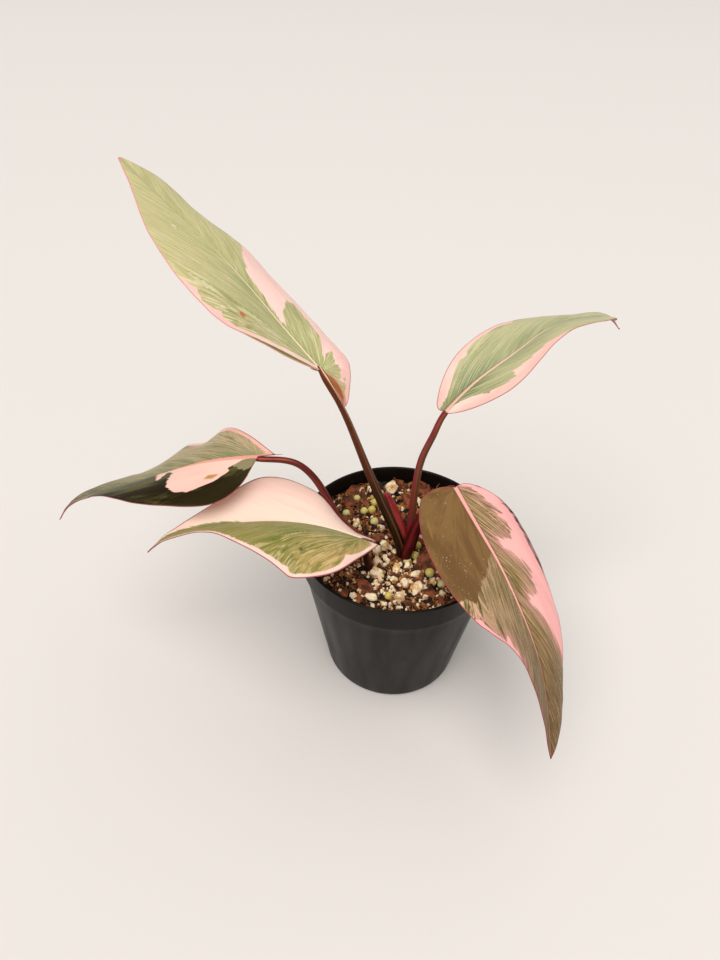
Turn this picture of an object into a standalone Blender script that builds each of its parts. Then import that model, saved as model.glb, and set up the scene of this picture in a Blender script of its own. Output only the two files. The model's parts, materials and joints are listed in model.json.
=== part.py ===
"""Pink princess philodendron in a small black nursery pot, as separate solids.

The origin is the centre of the pot's underside, +Z is up and -Y is the front.
Driving sizes are in millimetres and are multiplied by MM when a mesh is made.
"""

import math
import random
from dataclasses import dataclass

import bmesh
import bpy
import numpy as np
from mathutils import Matrix, Vector

MM = 0.001
GAP = 0.3

# Pot: a thin turned shell with a collar band under its rim
POT_HEIGHT = 68.0
RIM_RADIUS = 38.0
BAND_HEIGHT = 11.1
BAND_LOW_RADIUS = 37.0
BAND_STEP = 0.9
BASE_RADIUS = 26.7
BASE_CORNER = 1.6
WALL = 1.1
FLOOR = 1.4
LIP = 0.5
POT_SIDES = 48
DRAIN_HOLES = 6
DRAIN_RADIUS = 3.0
DRAIN_RING = 18.0

# Potting mix: a plug with a low mound, and lumps that stand out of it
MIX_EDGE_HEIGHT = 62.6
MOUND_HEIGHT = 1.3
FRONT_RISE = 0.9
MIX_SIDES = 32
MIX_RINGS = 7
MIX_EDGE_DROP = 2.5
MIX_WALL_GAP = 1.6
RIPPLE_LONG = 0.35
RIPPLE_SHORT = 0.25
LUMP_SEED = 11
LUMP_REACH = 33.0
LUMP_GAP = 0.7
STEM_GAP = 1.2
SLEEVE_GAP = 0.45

# Crown stem: the short stem that the petioles and the new leaf grow from
CROWN_CENTRE = (2.2, -6.8)
CROWN_TOP = 65.2
CROWN_FOOT = 40.0
CROWN_RADIUS = 4.6
CROWN_SIDES = 20

# Leaf blades
BLADE = 0.7
RIDGE = 1.3
BLADE_ROWS = 20
BLADE_COLUMNS = (0.0, 0.1, 0.3, 0.6, 1.0)
ROW_CROWDING = 1.6
VEIN_SWEEP = 1.15
TIP_AT = 0.985
TIP_HALF_WIDTH = 0.35
WAVES_PER_LEAF = 1.5

# Petioles: straight lengths between two points of a route
SPAN_STEPS = 3

# Colours, as sRGB hex values
POT_BLACK = "#1c1b1d"
MIX_BROWN = "#3a2418"
CROWN_CRIMSON = "#5a1620"
PETIOLE_BROWN = "#5b3524"
PETIOLE_CRIMSON = "#6d1f2b"
SPEAR_CRIMSON = "#9c2b3c"
LEAF_GREEN = "#7f8a55"
LEAF_DARK = "#4f4a33"
LEAF_PINK = "#e9b9ac"


@dataclass(frozen=True)
class Lumps:
    """One kind of lump in the mix: its sizes, how many, and its shape.

    `flat` and `narrow` are (least, most) shares of the length, `crumple` is the
    share by which corners move, and `lift` is how far its middle stands above
    the surface, as a share of its size.
    """

    count: int
    size: tuple
    narrow: tuple
    flat: tuple
    crumple: float
    lift: float


@dataclass(frozen=True)
class Leaf:
    """Driving values of one blade.

    The midrib is a smooth curve through a few points. At each point of it the
    blade faces along `facing`, rolled about the midrib by `roll` degrees. Values
    in threes hold for the base, the middle and the tip of the blade, and values
    in pairs hold for its left and right half, seen from above with the tip away.
    """

    name: str
    colour: str
    midrib: tuple
    half_width: tuple
    lobe: tuple
    lobe_inset: tuple
    lobe_at: float
    fullness: tuple
    roll: tuple
    fold_left: tuple
    fold_right: tuple
    curl: tuple
    wave: tuple
    facing: tuple = (0.0, 0.0, 1.0)


@dataclass(frozen=True)
class Petiole:
    """Route of one leaf stalk, with its radius at each point of the route."""

    name: str
    colour: str
    route: tuple
    radii: tuple


BIG_CHIPS = Lumps(5, (8.0, 10.5), (0.45, 0.7), (0.35, 0.4), 0.12, 0.02)
BIG_PERLITE = Lumps(7, (5.0, 6.5), (0.7, 1.0), (0.65, 0.9), 0.14, 0.12)
PRILLS = Lumps(12, (3.2, 3.2), (1.0, 1.0), (1.0, 1.0), 0.0, 0.3)
SMALL_CHIPS = Lumps(8, (4.5, 7.0), (0.45, 0.7), (0.35, 0.4), 0.12, 0.02)
SMALL_PERLITE = Lumps(15, (3.0, 4.6), (0.7, 1.0), (0.65, 0.9), 0.14, 0.12)

LEAVES = (
    Leaf(
        name="leaf_rear_left",
        colour=LEAF_GREEN,
        midrib=((-28, 0, 139), (-42, 13.5, 148), (-57, 24.5, 160.5), (-75, 36, 173), (-94, 47, 186)),
        half_width=(26.5, 25.5),
        lobe=(0.0, 16.0),
        lobe_inset=(-0.5, 5.4),
        lobe_at=0.015,
        fullness=(0.6, 1.0),
        roll=(18, 8, 13),
        fold_left=(19, 19, -5),
        fold_right=(22, -1, 4),
        curl=(20, 50),
        wave=(1.6, 0.04),
    ),
    Leaf(
        name="leaf_rear_right",
        colour=LEAF_GREEN,
        midrib=((16, 28, 104), (28, 35, 114), (41, 40, 123), (55, 45, 132), (71, 51, 132),
                (78, 55, 129), (81, 53, 126)),
        half_width=(17.0, 14.5),
        lobe=(4.0, 2.0),
        lobe_inset=(0.5, 1.5),
        lobe_at=0.044,
        fullness=(0.76, 0.92),
        roll=(39, -14, -12),
        fold_left=(25, 13, 0),
        fold_right=(13, 15, 2),
        curl=(19, 30),
        wave=(1.0, -0.25),
    ),
    Leaf(
        name="leaf_left",
        colour=LEAF_DARK,
        midrib=((-50, -2, 105), (-65, -1, 102), (-81, 1, 95), (-99, 3, 86), (-116, 5, 78),
                (-124, 5, 73), (-129, 4, 66)),
        half_width=(21.5, 20.5),
        lobe=(0.0, 10.0),
        lobe_inset=(1.5, 6.0),
        lobe_at=0.016,
        fullness=(0.72, 1.4),
        roll=(-36, 19, 1),
        fold_left=(-1, 17, 2),
        fold_right=(3, 15, 3),
        curl=(33, 38),
        wave=(1.0, 0.2),
    ),
    Leaf(
        name="leaf_front_left",
        colour=LEAF_PINK,
        midrib=((-14, -15, 80), (-27, -15, 85), (-40, -15, 87), (-55, -18, 89), (-69, -22, 90),
                (-80, -27, 89), (-85, -28, 84)),
        half_width=(28.0, 18.5),
        lobe=(7.0, 7.5),
        lobe_inset=(5.0, 2.0),
        lobe_at=0.012,
        fullness=(0.7, 1.8),
        roll=(25, 16, 25),
        fold_left=(-2, 32, 4),
        fold_right=(-6, 38, 0),
        curl=(75, 18),
        wave=(2.5, 0.04),
    ),
    Leaf(
        name="leaf_front_right",
        colour=LEAF_DARK,
        midrib=((18, -5, 96), (25, -14, 88), (33, -24, 79), (40, -36, 70), (45, -50, 63),
                (47, -63, 57), (48, -77, 46)),
        half_width=(21.0, 26.0),
        lobe=(2.0, 7.5),
        lobe_inset=(2.0, -1.0),
        lobe_at=0.059,
        fullness=(0.65, 0.91),
        roll=(21, -24, -29),
        fold_left=(-1, 17, 9),
        fold_right=(-3, 19, 11),
        curl=(33, 28),
        wave=(1.6, 0.44),
        facing=(0.4, -0.6, 0.7),
    ),
)

PETIOLES = (
    Petiole(
        name="petiole_rear_left",
        colour=PETIOLE_BROWN,
        route=((0.0, -7.5, 65.9), (-0.4, -7.4, 68), (-5.5, -4.5, 82), (-11.6, -1.5, 99.8),
               (-20.5, 1.2, 124.9), (-27.8, 0.6, 137.1)),
        radii=(2.0, 2.0, 1.9, 1.6, 1.2, 1.1),
    ),
    Petiole(
        name="petiole_rear_right",
        colour=PETIOLE_BROWN,
        route=((4.2, -4.8, 65.9), (4.3, -4.4, 68), (6.3, 2.0, 82.9), (8.6, 9.0, 91.4),
               (12.3, 18.0, 99.0), (15.6, 28.2, 102.6)),
        radii=(1.8, 1.8, 1.7, 1.5, 1.2, 1.0),
    ),
    Petiole(
        name="petiole_left",
        colour=PETIOLE_CRIMSON,
        route=((-6.9, -3.4, 52), (-7.4, -3.3, 61), (-11.0, -2.6, 67.1), (-19.8, 1.0, 72.0),
               (-25.0, 4.0, 78.5), (-30.0, 5.5, 87.0), (-37.0, 4.8, 96.0), (-48.6, -1.3, 103.2)),
        radii=(1.6, 1.7, 1.7, 1.6, 1.5, 1.4, 1.2, 1.0),
    ),
    Petiole(
        name="petiole_front_left",
        colour=PETIOLE_CRIMSON,
        route=((-9.8, -15.0, 52), (-10.2, -14.9, 61), (-11.4, -14.8, 67), (-12.6, -15.0, 73),
               (-13.7, -15.4, 77.2)),
        radii=(1.5, 1.5, 1.4, 1.2, 1.0),
    ),
    Petiole(
        name="petiole_front_right",
        colour=PETIOLE_CRIMSON,
        route=((3.7, -9.4, 65.9), (3.9, -9.3, 68), (4.9, -8.7, 74), (7.4, -8.1, 85.0),
               (12.5, -5.2, 91.0), (17.2, -3.3, 94.0)),
        radii=(1.9, 2.0, 2.2, 1.7, 1.3, 1.0),
    ),
    Petiole(
        name="new_leaf_spear",
        colour=SPEAR_CRIMSON,
        route=((0.7, -3.7, 65.9), (0.5, -3.6, 68), (-1.2, -2.2, 73.5), (-3.9, -0.2, 81), (-6.1, 1.0, 87)),
        radii=(1.0, 1.0, 1.1, 1.2, 0.7),
    ),
)


def clear_scene() -> None:
    """Remove every object that the scene holds."""
    for old in list(bpy.data.objects):
        bpy.data.objects.remove(old, do_unlink=True)


def linear_colour(code: str) -> tuple:
    """Turn an sRGB hex code into linear RGBA."""
    channels = [int(code[i:i + 2], 16) / 255 for i in (1, 3, 5)]
    linear = [c / 12.92 if c <= 0.04045 else ((c + 0.055) / 1.055) ** 2.4 for c in channels]
    return (*linear, 1.0)


def material(name: str, code: str, roughness: float) -> bpy.types.Material:
    """Make a plain non-metal Principled material."""
    made = bpy.data.materials.new(name)
    made.use_nodes = True
    shader = made.node_tree.nodes["Principled BSDF"]
    shader.inputs["Base Color"].default_value = linear_colour(code)
    shader.inputs["Roughness"].default_value = roughness
    shader.inputs["Metallic"].default_value = 0.0
    return made


def add_object(name: str, data, finish: bpy.types.Material | None = None) -> bpy.types.Object:
    """Link new object data into the scene and give it a material."""
    made = bpy.data.objects.new(name, data)
    bpy.context.scene.collection.objects.link(made)
    if finish is not None:
        data.materials.append(finish)
    return made


def mesh_from(name: str, points: list, faces: list) -> bpy.types.Mesh:
    """Make a smooth-shaded mesh from points in millimetres."""
    mesh = bpy.data.meshes.new(name)
    mesh.from_pydata([Vector(p) * MM for p in points], [], faces)
    mesh.shade_smooth()
    mesh.set_sharp_from_angle(angle=math.radians(40))
    return mesh


def boolean(target: bpy.types.Object, cutter: bpy.types.Object, operation: str) -> None:
    """Add an exact Boolean modifier and hide its cutter."""
    step = target.modifiers.new(f"{operation.lower()}_{cutter.name}", "BOOLEAN")
    step.operation = operation
    step.solver = "EXACT"
    step.object = cutter
    cutter.hide_render = True
    cutter.display_type = "WIRE"


def apply_modifiers(target: bpy.types.Object) -> None:
    """Replace an object's mesh by its evaluated mesh, and drop the modifiers."""
    view = bpy.context.evaluated_depsgraph_get()
    result = bpy.data.meshes.new_from_object(target.evaluated_get(view))
    target.modifiers.clear()
    target.data = result


def natural_curve(points, count: int) -> np.ndarray:
    """Read `count` even points from the natural cubic curve through `points`."""
    knots = np.asarray(points, dtype=float)
    spans = np.linalg.norm(np.diff(knots, axis=0), axis=1)
    at = np.concatenate([[0.0], np.cumsum(spans)])
    size = len(knots)
    system = np.eye(size)
    right = np.zeros_like(knots)
    for i in range(1, size - 1):
        system[i, i - 1:i + 2] = spans[i - 1], 2 * (spans[i - 1] + spans[i]), spans[i]
        right[i] = 6 * ((knots[i + 1] - knots[i]) / spans[i] - (knots[i] - knots[i - 1]) / spans[i - 1])
    bend = np.linalg.solve(system, right)
    fine = np.linspace(0.0, at[-1], count)
    span = np.clip(np.searchsorted(at, fine, side="right") - 1, 0, size - 2)
    before = ((at[span + 1] - fine) / spans[span])[:, None]
    after = 1.0 - before
    square = (spans[span] ** 2 / 6)[:, None]
    return (before * knots[span] + after * knots[span + 1]
            + square * ((before ** 3 - before) * bend[span] + (after ** 3 - after) * bend[span + 1]))


def unit(vectors: np.ndarray) -> np.ndarray:
    """Scale vectors to length 1."""
    return vectors / np.linalg.norm(vectors, axis=-1, keepdims=True)


def blend(values: tuple, u: np.ndarray) -> np.ndarray:
    """Run smoothly through a base, a middle and a tip value, for u from 0 to 1."""
    base, middle, tip = values
    return base * (1 - u) * (1 - 2 * u) + middle * 4 * u * (1 - u) + tip * u * (2 * u - 1)


class Blade:
    """The curved surface of one leaf, addressed along and across its midrib."""

    def __init__(self, leaf: Leaf) -> None:
        self.leaf = leaf
        self.points = natural_curve(leaf.midrib, 240)
        steps = np.linalg.norm(np.diff(self.points, axis=0), axis=1)
        self.along = np.concatenate([[0.0], np.cumsum(steps)])
        self.heading = unit(np.gradient(self.points, self.along, axis=0))
        self.length = self.along[-1]

    def frame(self, y: np.ndarray) -> tuple:
        """Give the midrib's point, facing and rightward direction at distance y."""
        inside = np.clip(y, 0.0, self.length)
        point = np.stack([np.interp(inside, self.along, self.points[:, i]) for i in range(3)], -1)
        heading = np.stack([np.interp(inside, self.along, self.heading[:, i]) for i in range(3)], -1)
        heading = unit(heading)
        point = point + heading * (y - inside)[..., None]
        roll = np.radians(blend(self.leaf.roll, inside / self.length))[..., None]
        facing = np.broadcast_to(unit(np.array(self.leaf.facing)), heading.shape)
        facing = unit(facing - np.sum(facing * heading, -1, keepdims=True) * heading)
        facing = facing * np.cos(roll) + np.cross(heading, facing) * np.sin(roll)
        return point, facing, np.cross(heading, facing)

    def point(self, y: np.ndarray, x: np.ndarray) -> np.ndarray:
        """Give the surface point at y along the midrib and x across it, right positive."""
        leaf = self.leaf
        centre, facing, right = self.frame(y)
        u = np.clip(y / self.length, 0.0, 1.0)
        is_right = (x > 0).astype(int)
        fold = np.radians(np.where(is_right, blend(leaf.fold_right, u), blend(leaf.fold_left, u)))
        width = np.array(leaf.half_width)[is_right]
        bend = np.radians(np.array(leaf.curl, dtype=float))[is_right] / width
        out = np.abs(x)
        across = (np.sin(fold) - np.sin(fold - bend * out)) / bend
        rise = (np.cos(fold - bend * out) - np.cos(fold)) / bend
        size, phase = leaf.wave
        turn = WAVES_PER_LEAF * u + phase + 0.5 * is_right
        rise = rise + size * (out / width) ** 2 * np.sin(2 * math.pi * turn)
        return centre + right * (np.sign(x) * across)[..., None] + facing * rise[..., None]

    def margin(self, s: float, side: int) -> tuple:
        """Give the margin's distance across and along, at s from base 0 to tip 1."""
        leaf = self.leaf
        low, high = leaf.fullness
        widest = low / (low + high)
        peak = widest ** low * (1 - widest) ** high
        back = (s / leaf.lobe_at) * math.exp(1 - s / leaf.lobe_at)
        x = leaf.half_width[side] * s ** low * (1 - s) ** high / peak - leaf.lobe_inset[side] * back
        y = self.length * s - leaf.lobe[side] * back
        return x, y


def build_blade(leaf: Leaf) -> bpy.types.Object:
    """Build one blade: a triangulated surface, thickened downwards with a midrib ridge."""
    blade = Blade(leaf)
    first = leaf.lobe_at * 0.95
    columns = [-c for c in reversed(BLADE_COLUMNS[1:])] + list(BLADE_COLUMNS)
    y_values = []
    x_values = []
    ridge = []
    for row in range(BLADE_ROWS):
        s = first + (TIP_AT - first) * (row / (BLADE_ROWS - 1)) ** ROW_CROWDING
        y_midrib = blade.length * ((s - first) / (1 - first)) ** VEIN_SWEEP
        for column in columns:
            side = int(column > 0)
            x_margin, y_margin = blade.margin(s, side)
            x_margin = max(x_margin, TIP_HALF_WIDTH)
            x_values.append(column * x_margin)
            y_values.append(y_midrib + abs(column) ** 1.4 * (y_margin - y_midrib))
            ridge.append((1 - s) * RIDGE if column == 0 else 0.0)
    points = blade.point(np.array(y_values), np.array(x_values))
    wide = len(columns)
    faces = []
    for row in range(BLADE_ROWS - 1):
        for column in range(wide - 1):
            a = row * wide + column
            b, c, d = a + 1, a + wide + 1, a + wide
            if column < wide // 2:
                faces += [(a, b, c), (a, c, d)]
            else:
                faces += [(a, b, d), (b, c, d)]
    mesh = mesh_from(leaf.name, points.tolist(), faces)
    made = add_object(leaf.name, mesh, material(leaf.name, leaf.colour, 0.45))
    thickest = BLADE + RIDGE
    group = made.vertex_groups.new(name="thickness")
    for index, extra in enumerate(ridge):
        group.add([index], (BLADE + extra) / thickest, "REPLACE")
    skin = made.modifiers.new("blade_thickness", "SOLIDIFY")
    skin.thickness = thickest * MM
    skin.offset = -1.0
    skin.vertex_group = group.name
    skin.use_rim = True
    return made


def tube(name: str, route: tuple, radii: tuple, extra: float = 0.0) -> bpy.types.Curve:
    """Make a capped tube along a smooth route, its radius following `radii`."""
    line = natural_curve(route, SPAN_STEPS * (len(route) - 1) + 1)
    spans = np.linalg.norm(np.diff(np.array(route, dtype=float), axis=0), axis=1)
    stops = np.concatenate([[0.0], np.cumsum(spans)])
    widths = np.interp(np.linspace(0.0, stops[-1], len(line)), stops, radii) + extra
    curve = bpy.data.curves.new(name, "CURVE")
    curve.dimensions = "3D"
    curve.bevel_depth = MM
    curve.bevel_resolution = 3
    curve.use_fill_caps = True
    spline = curve.splines.new("POLY")
    spline.points.add(len(line) - 1)
    for knot, place, width in zip(spline.points, line, widths):
        knot.co = (*(place * MM), 1.0)
        knot.radius = width
    return curve


def turned(name: str, profile: list, sides: int, shift: tuple = (0.0, 0.0)) -> bpy.types.Mesh:
    """Turn an open profile of (radius, height) pairs, whose ends lie on the axis."""
    points = [(shift[0], shift[1], profile[0][1]), (shift[0], shift[1], profile[-1][1])]
    rings = profile[1:-1]
    for radius, height in rings:
        for i in range(sides):
            turn = 2 * math.pi * i / sides
            points.append((shift[0] + radius * math.cos(turn), shift[1] + radius * math.sin(turn), height))
    faces = []
    last = 2 + (len(rings) - 1) * sides
    for i in range(sides):
        j = (i + 1) % sides
        faces.append((0, 2 + j, 2 + i))
        faces.append((1, last + i, last + j))
        for ring in range(len(rings) - 1):
            low = 2 + ring * sides
            faces.append((low + i, low + j, low + sides + j, low + sides + i))
    return mesh_from(name, points, faces)


def pot_inner_radius(height: float) -> float:
    """Give the radius of the pot's inside at a height below the collar band."""
    band_foot = POT_HEIGHT - BAND_HEIGHT
    outer_top = BAND_LOW_RADIUS - BAND_STEP
    return BASE_RADIUS + (outer_top - BASE_RADIUS) * height / band_foot - WALL


def build_pot() -> bpy.types.Object:
    """Build the turned pot and cut its drain holes."""
    band_foot = POT_HEIGHT - BAND_HEIGHT
    outer_top = BAND_LOW_RADIUS - BAND_STEP
    profile = [
        (0.0, 0.0),
        (BASE_RADIUS - BASE_CORNER, 0.0),
        (BASE_RADIUS - 0.3 * BASE_CORNER, 0.3 * BASE_CORNER),
        (BASE_RADIUS + 0.3, BASE_CORNER),
        (outer_top, band_foot - BAND_STEP),
        (BAND_LOW_RADIUS, band_foot),
        (RIM_RADIUS - LIP, POT_HEIGHT - 2 * LIP),
        (RIM_RADIUS, POT_HEIGHT - LIP),
        (RIM_RADIUS - 0.5 * LIP, POT_HEIGHT),
        (RIM_RADIUS - WALL, POT_HEIGHT - 0.5 * LIP),
        (BAND_LOW_RADIUS - WALL, band_foot + BAND_STEP),
        (pot_inner_radius(band_foot), band_foot - BAND_STEP),
        (pot_inner_radius(FLOOR + 1.0), FLOOR + 1.0),
        (pot_inner_radius(FLOOR) - 1.0, FLOOR),
        (0.0, FLOOR),
    ]
    pot = add_object("pot", turned("pot", profile, POT_SIDES), material("pot", POT_BLACK, 0.5))
    cutters = bmesh.new()
    for i in range(DRAIN_HOLES):
        turn = 2 * math.pi * (i + 0.5) / DRAIN_HOLES
        made = bmesh.ops.create_cone(
            cutters, cap_ends=True, segments=14, radius1=DRAIN_RADIUS * MM,
            radius2=DRAIN_RADIUS * MM, depth=4 * FLOOR * MM)
        place = Vector((math.cos(turn), math.sin(turn), 0)) * DRAIN_RING * MM
        bmesh.ops.translate(cutters, verts=made["verts"], vec=place)
    mesh = bpy.data.meshes.new("drain_cutter")
    cutters.to_mesh(mesh)
    cutters.free()
    cutter = add_object("drain_cutter", mesh)
    boolean(pot, cutter, "DIFFERENCE")
    apply_modifiers(pot)
    bpy.data.objects.remove(cutter, do_unlink=True)
    return pot


def mix_height(x: float, y: float) -> float:
    """Give the height of the potting mix's surface at a place in the pot."""
    out = min(math.hypot(x, y) / LUMP_REACH, 1.0)
    mound = MOUND_HEIGHT * (1 - out ** 2)
    slope = FRONT_RISE * y / LUMP_REACH
    long_wave = RIPPLE_LONG * math.sin(0.45 * x + 1.0) * math.cos(0.4 * y)
    short_wave = RIPPLE_SHORT * math.sin(0.9 * y - 0.3 * x)
    return MIX_EDGE_HEIGHT + mound - slope + long_wave + short_wave


def lump_mesh(kind: Lumps, size: float, dice: random.Random) -> bmesh.types.BMesh:
    """Make one lump about the origin, turned and crumpled by the dice."""
    lump = bmesh.new()
    bmesh.ops.create_icosphere(lump, subdivisions=1, radius=size / 2)
    stretch = (1.0, dice.uniform(*kind.narrow), dice.uniform(*kind.flat))
    for corner in lump.verts:
        corner.co *= 1.0 + dice.uniform(-kind.crumple, kind.crumple)
    bmesh.ops.scale(lump, verts=lump.verts, vec=stretch)
    turn = Matrix.Rotation(dice.uniform(0.0, math.pi), 3, "Z")
    bmesh.ops.rotate(lump, verts=lump.verts, matrix=turn)
    return lump


def stem_places() -> list:
    """List (x, y, radius) of each stem where it passes the mix's surface."""
    places = [(*CROWN_CENTRE, CROWN_RADIUS)]
    for petiole in PETIOLES:
        low = [i for i, place in enumerate(petiole.route) if place[2] < CROWN_TOP + 3.0]
        places += [(*petiole.route[i][:2], petiole.radii[i]) for i in low]
    return places


def lump_plan() -> list:
    """Place the lumps by a seeded rule, clear of the stems, the wall and each other."""
    dice = random.Random(LUMP_SEED)
    stems = stem_places()
    plan = []
    for kind in (BIG_CHIPS, BIG_PERLITE, PRILLS, SMALL_CHIPS, SMALL_PERLITE):
        placed = 0
        while placed < kind.count:
            size = dice.uniform(*kind.size)
            out = (LUMP_REACH - size / 2) * math.sqrt(dice.random())
            turn = dice.uniform(0.0, 2 * math.pi)
            x = out * math.cos(turn)
            y = out * math.sin(turn)
            spaces = [math.hypot(x - a, y - b) - radius - STEM_GAP for a, b, radius in stems]
            spaces += [math.hypot(x - a, y - b) - other / 2 - LUMP_GAP for _, other, a, b in plan]
            if min(spaces) > size / 2:
                plan.append((kind, size, x, y))
                placed += 1
    return plan


def build_lumps() -> bpy.types.Collection:
    """Build every lump as an object in a collection that is not linked to the scene."""
    dice = random.Random(LUMP_SEED + 1)
    lumps = bpy.data.collections.new("lumps")
    for kind, size, x, y in lump_plan():
        shape = lump_mesh(kind, size, dice)
        place = Vector((x, y, mix_height(x, y) + kind.lift * size))
        bmesh.ops.translate(shape, verts=shape.verts, vec=place)
        bmesh.ops.scale(shape, verts=shape.verts, vec=(MM, MM, MM))
        mesh = bpy.data.meshes.new("lump")
        shape.to_mesh(mesh)
        shape.free()
        lumps.objects.link(bpy.data.objects.new("lump", mesh))
    return lumps


def sleeve(petiole: Petiole) -> bpy.types.Object:
    """Build the cutter of one buried petiole's hole in the mix."""
    low = petiole.route[0]
    route = ((*low[:2], low[2] - GAP), *petiole.route[1:4])
    curve = tube(f"{petiole.name}_sleeve", route, petiole.radii[:4], SLEEVE_GAP)
    shape = add_object(curve.name, curve)
    view = bpy.context.evaluated_depsgraph_get()
    mesh = bpy.data.meshes.new_from_object(shape.evaluated_get(view))
    bpy.data.objects.remove(shape, do_unlink=True)
    return add_object(curve.name, mesh)


def mix_plug() -> bpy.types.Mesh:
    """Make the plug of mix that fills the pot, with its low mound."""
    low = FLOOR + GAP
    shoulder = POT_HEIGHT - BAND_HEIGHT - BAND_STEP
    edge = RIM_RADIUS - WALL - MIX_WALL_GAP
    profile = [
        (0.0, low),
        (pot_inner_radius(low) - 1.5, low),
        (pot_inner_radius(low + 2.0) - GAP, low + 2.0),
        (pot_inner_radius(shoulder) - GAP, shoulder),
        (edge, MIX_EDGE_HEIGHT - MIX_EDGE_DROP),
    ]
    profile += [(edge * (1 - i / MIX_RINGS), MIX_EDGE_HEIGHT) for i in range(MIX_RINGS)]
    profile.append((0.0, MIX_EDGE_HEIGHT))
    mesh = turned("potting_mix", profile, MIX_SIDES)
    for corner in mesh.vertices:
        if corner.co.z > (MIX_EDGE_HEIGHT - 0.1) * MM:
            corner.co.z = mix_height(corner.co.x / MM, corner.co.y / MM) * MM
    return mesh


def build_mix() -> bpy.types.Object:
    """Build the potting mix: the plug, the lumps fused to it and the stems' holes."""
    mix = add_object("potting_mix", mix_plug(), material("potting_mix", MIX_BROWN, 0.95))
    lumps = build_lumps()
    union = mix.modifiers.new("fused_lumps", "BOOLEAN")
    union.operation = "UNION"
    union.solver = "EXACT"
    union.operand_type = "COLLECTION"
    union.collection = lumps
    crown = [
        (0.0, CROWN_FOOT - GAP),
        (CROWN_RADIUS + GAP, CROWN_FOOT - GAP),
        (CROWN_RADIUS + GAP, POT_HEIGHT),
        (0.0, POT_HEIGHT),
    ]
    cutters = [add_object("crown_sleeve", turned("crown_sleeve", crown, CROWN_SIDES, CROWN_CENTRE))]
    cutters += [sleeve(petiole) for petiole in PETIOLES if petiole.route[0][2] < MIX_EDGE_HEIGHT]
    for cutter in cutters:
        boolean(mix, cutter, "DIFFERENCE")
    apply_modifiers(mix)
    for used in [*lumps.objects, *cutters]:
        bpy.data.objects.remove(used, do_unlink=True)
    return mix


def build_crown() -> bpy.types.Object:
    """Build the short stem that stands in the mix."""
    profile = [
        (0.0, CROWN_FOOT),
        (0.55 * CROWN_RADIUS, CROWN_FOOT),
        (0.9 * CROWN_RADIUS, CROWN_FOOT + 6.0),
        (CROWN_RADIUS, CROWN_TOP - 6.0),
        (CROWN_RADIUS, CROWN_TOP - 0.6),
        (CROWN_RADIUS - 0.6, CROWN_TOP),
        (0.0, CROWN_TOP),
    ]
    mesh = turned("crown_stem", profile, CROWN_SIDES, CROWN_CENTRE)
    return add_object("crown_stem", mesh, material("crown_stem", CROWN_CRIMSON, 0.5))


def build_petiole(petiole: Petiole) -> bpy.types.Object:
    """Build one leaf stalk, or the rolled new leaf, as a capped tapering tube."""
    curve = tube(petiole.name, petiole.route, petiole.radii)
    return add_object(petiole.name, curve, material(petiole.name, petiole.colour, 0.4))


def main() -> None:
    """Build every piece of the plant and its pot."""
    clear_scene()
    build_pot()
    build_mix()
    build_crown()
    for petiole in PETIOLES:
        build_petiole(petiole)
    for leaf in LEAVES:
        build_blade(leaf)


main()
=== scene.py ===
"""Pink princess philodendron in its nursery pot, dressed around its solids.

Lengths are millimetres in the solids' own frame: the origin is the centre of the pot's
underside, +Z is up and -Y is the front. MM turns them into metres.
"""

import json
import logging
import math
import random
from collections.abc import Callable
from dataclasses import dataclass, field
from enum import Enum

import bmesh
import bpy
import numpy as np
from bpy.types import Material, Mesh, Node, NodeSocket, NodeTree, Object
from mathutils import Matrix, Vector, noise

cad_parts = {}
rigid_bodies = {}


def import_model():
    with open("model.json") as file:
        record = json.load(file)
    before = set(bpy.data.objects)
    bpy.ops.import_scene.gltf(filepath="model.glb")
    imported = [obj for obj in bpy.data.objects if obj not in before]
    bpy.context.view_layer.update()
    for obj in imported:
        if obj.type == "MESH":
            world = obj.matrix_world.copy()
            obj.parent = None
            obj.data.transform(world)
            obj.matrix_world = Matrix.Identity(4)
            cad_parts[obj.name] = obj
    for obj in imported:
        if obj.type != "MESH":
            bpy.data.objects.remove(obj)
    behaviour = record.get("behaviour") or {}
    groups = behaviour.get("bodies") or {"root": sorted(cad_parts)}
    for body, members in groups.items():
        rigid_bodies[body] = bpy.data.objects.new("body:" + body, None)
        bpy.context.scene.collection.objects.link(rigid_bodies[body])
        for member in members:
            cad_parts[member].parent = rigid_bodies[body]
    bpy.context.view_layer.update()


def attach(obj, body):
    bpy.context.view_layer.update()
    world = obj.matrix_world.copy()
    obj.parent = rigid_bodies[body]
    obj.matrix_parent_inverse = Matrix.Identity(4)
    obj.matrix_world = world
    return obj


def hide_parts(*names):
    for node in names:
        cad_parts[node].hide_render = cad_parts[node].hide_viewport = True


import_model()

MM = 0.001
BODY = "root"
log = logging.getLogger("philodendron")

# Inputs and output of a colour Mix node, which have the same names for every data type
MIX_FACTOR = 0
MIX_UNDER = 6
MIX_OVER = 7
MIX_RESULT = 2

# Hundredths of a blade's length for which its margin's outline and lift are given
MARGIN_STATIONS = (0, 7, 16, 28, 42, 56, 70, 82, 92, 100)

# The colour of a few pale specks on a dark leaf lobe
PALE_SPECKS = "#d9cfb4"


class Half(Enum):
    """Half of a blade, seen from above with its tip away."""

    LEFT = 0
    RIGHT = 1


class Tone(Enum):
    """What a patch of a blade looks like, as its column among the mesh's zone values."""

    PINK = 0
    DARK = 1
    GREY = 2
    SCAR = 3


def linear(code: str) -> tuple[float, float, float, float]:
    """Turn an sRGB hex code into linear RGBA.

    Args:
        code: The colour, such as "#f4b8a8".

    Returns:
        The same colour as linear red, green, blue and alpha.
    """
    channels = [int(code[i:i + 2], 16) / 255 for i in (1, 3, 5)]
    light = [c / 12.92 if c <= 0.04045 else ((c + 0.055) / 1.055) ** 2.4 for c in channels]
    return (light[0], light[1], light[2], 1.0)


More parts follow.
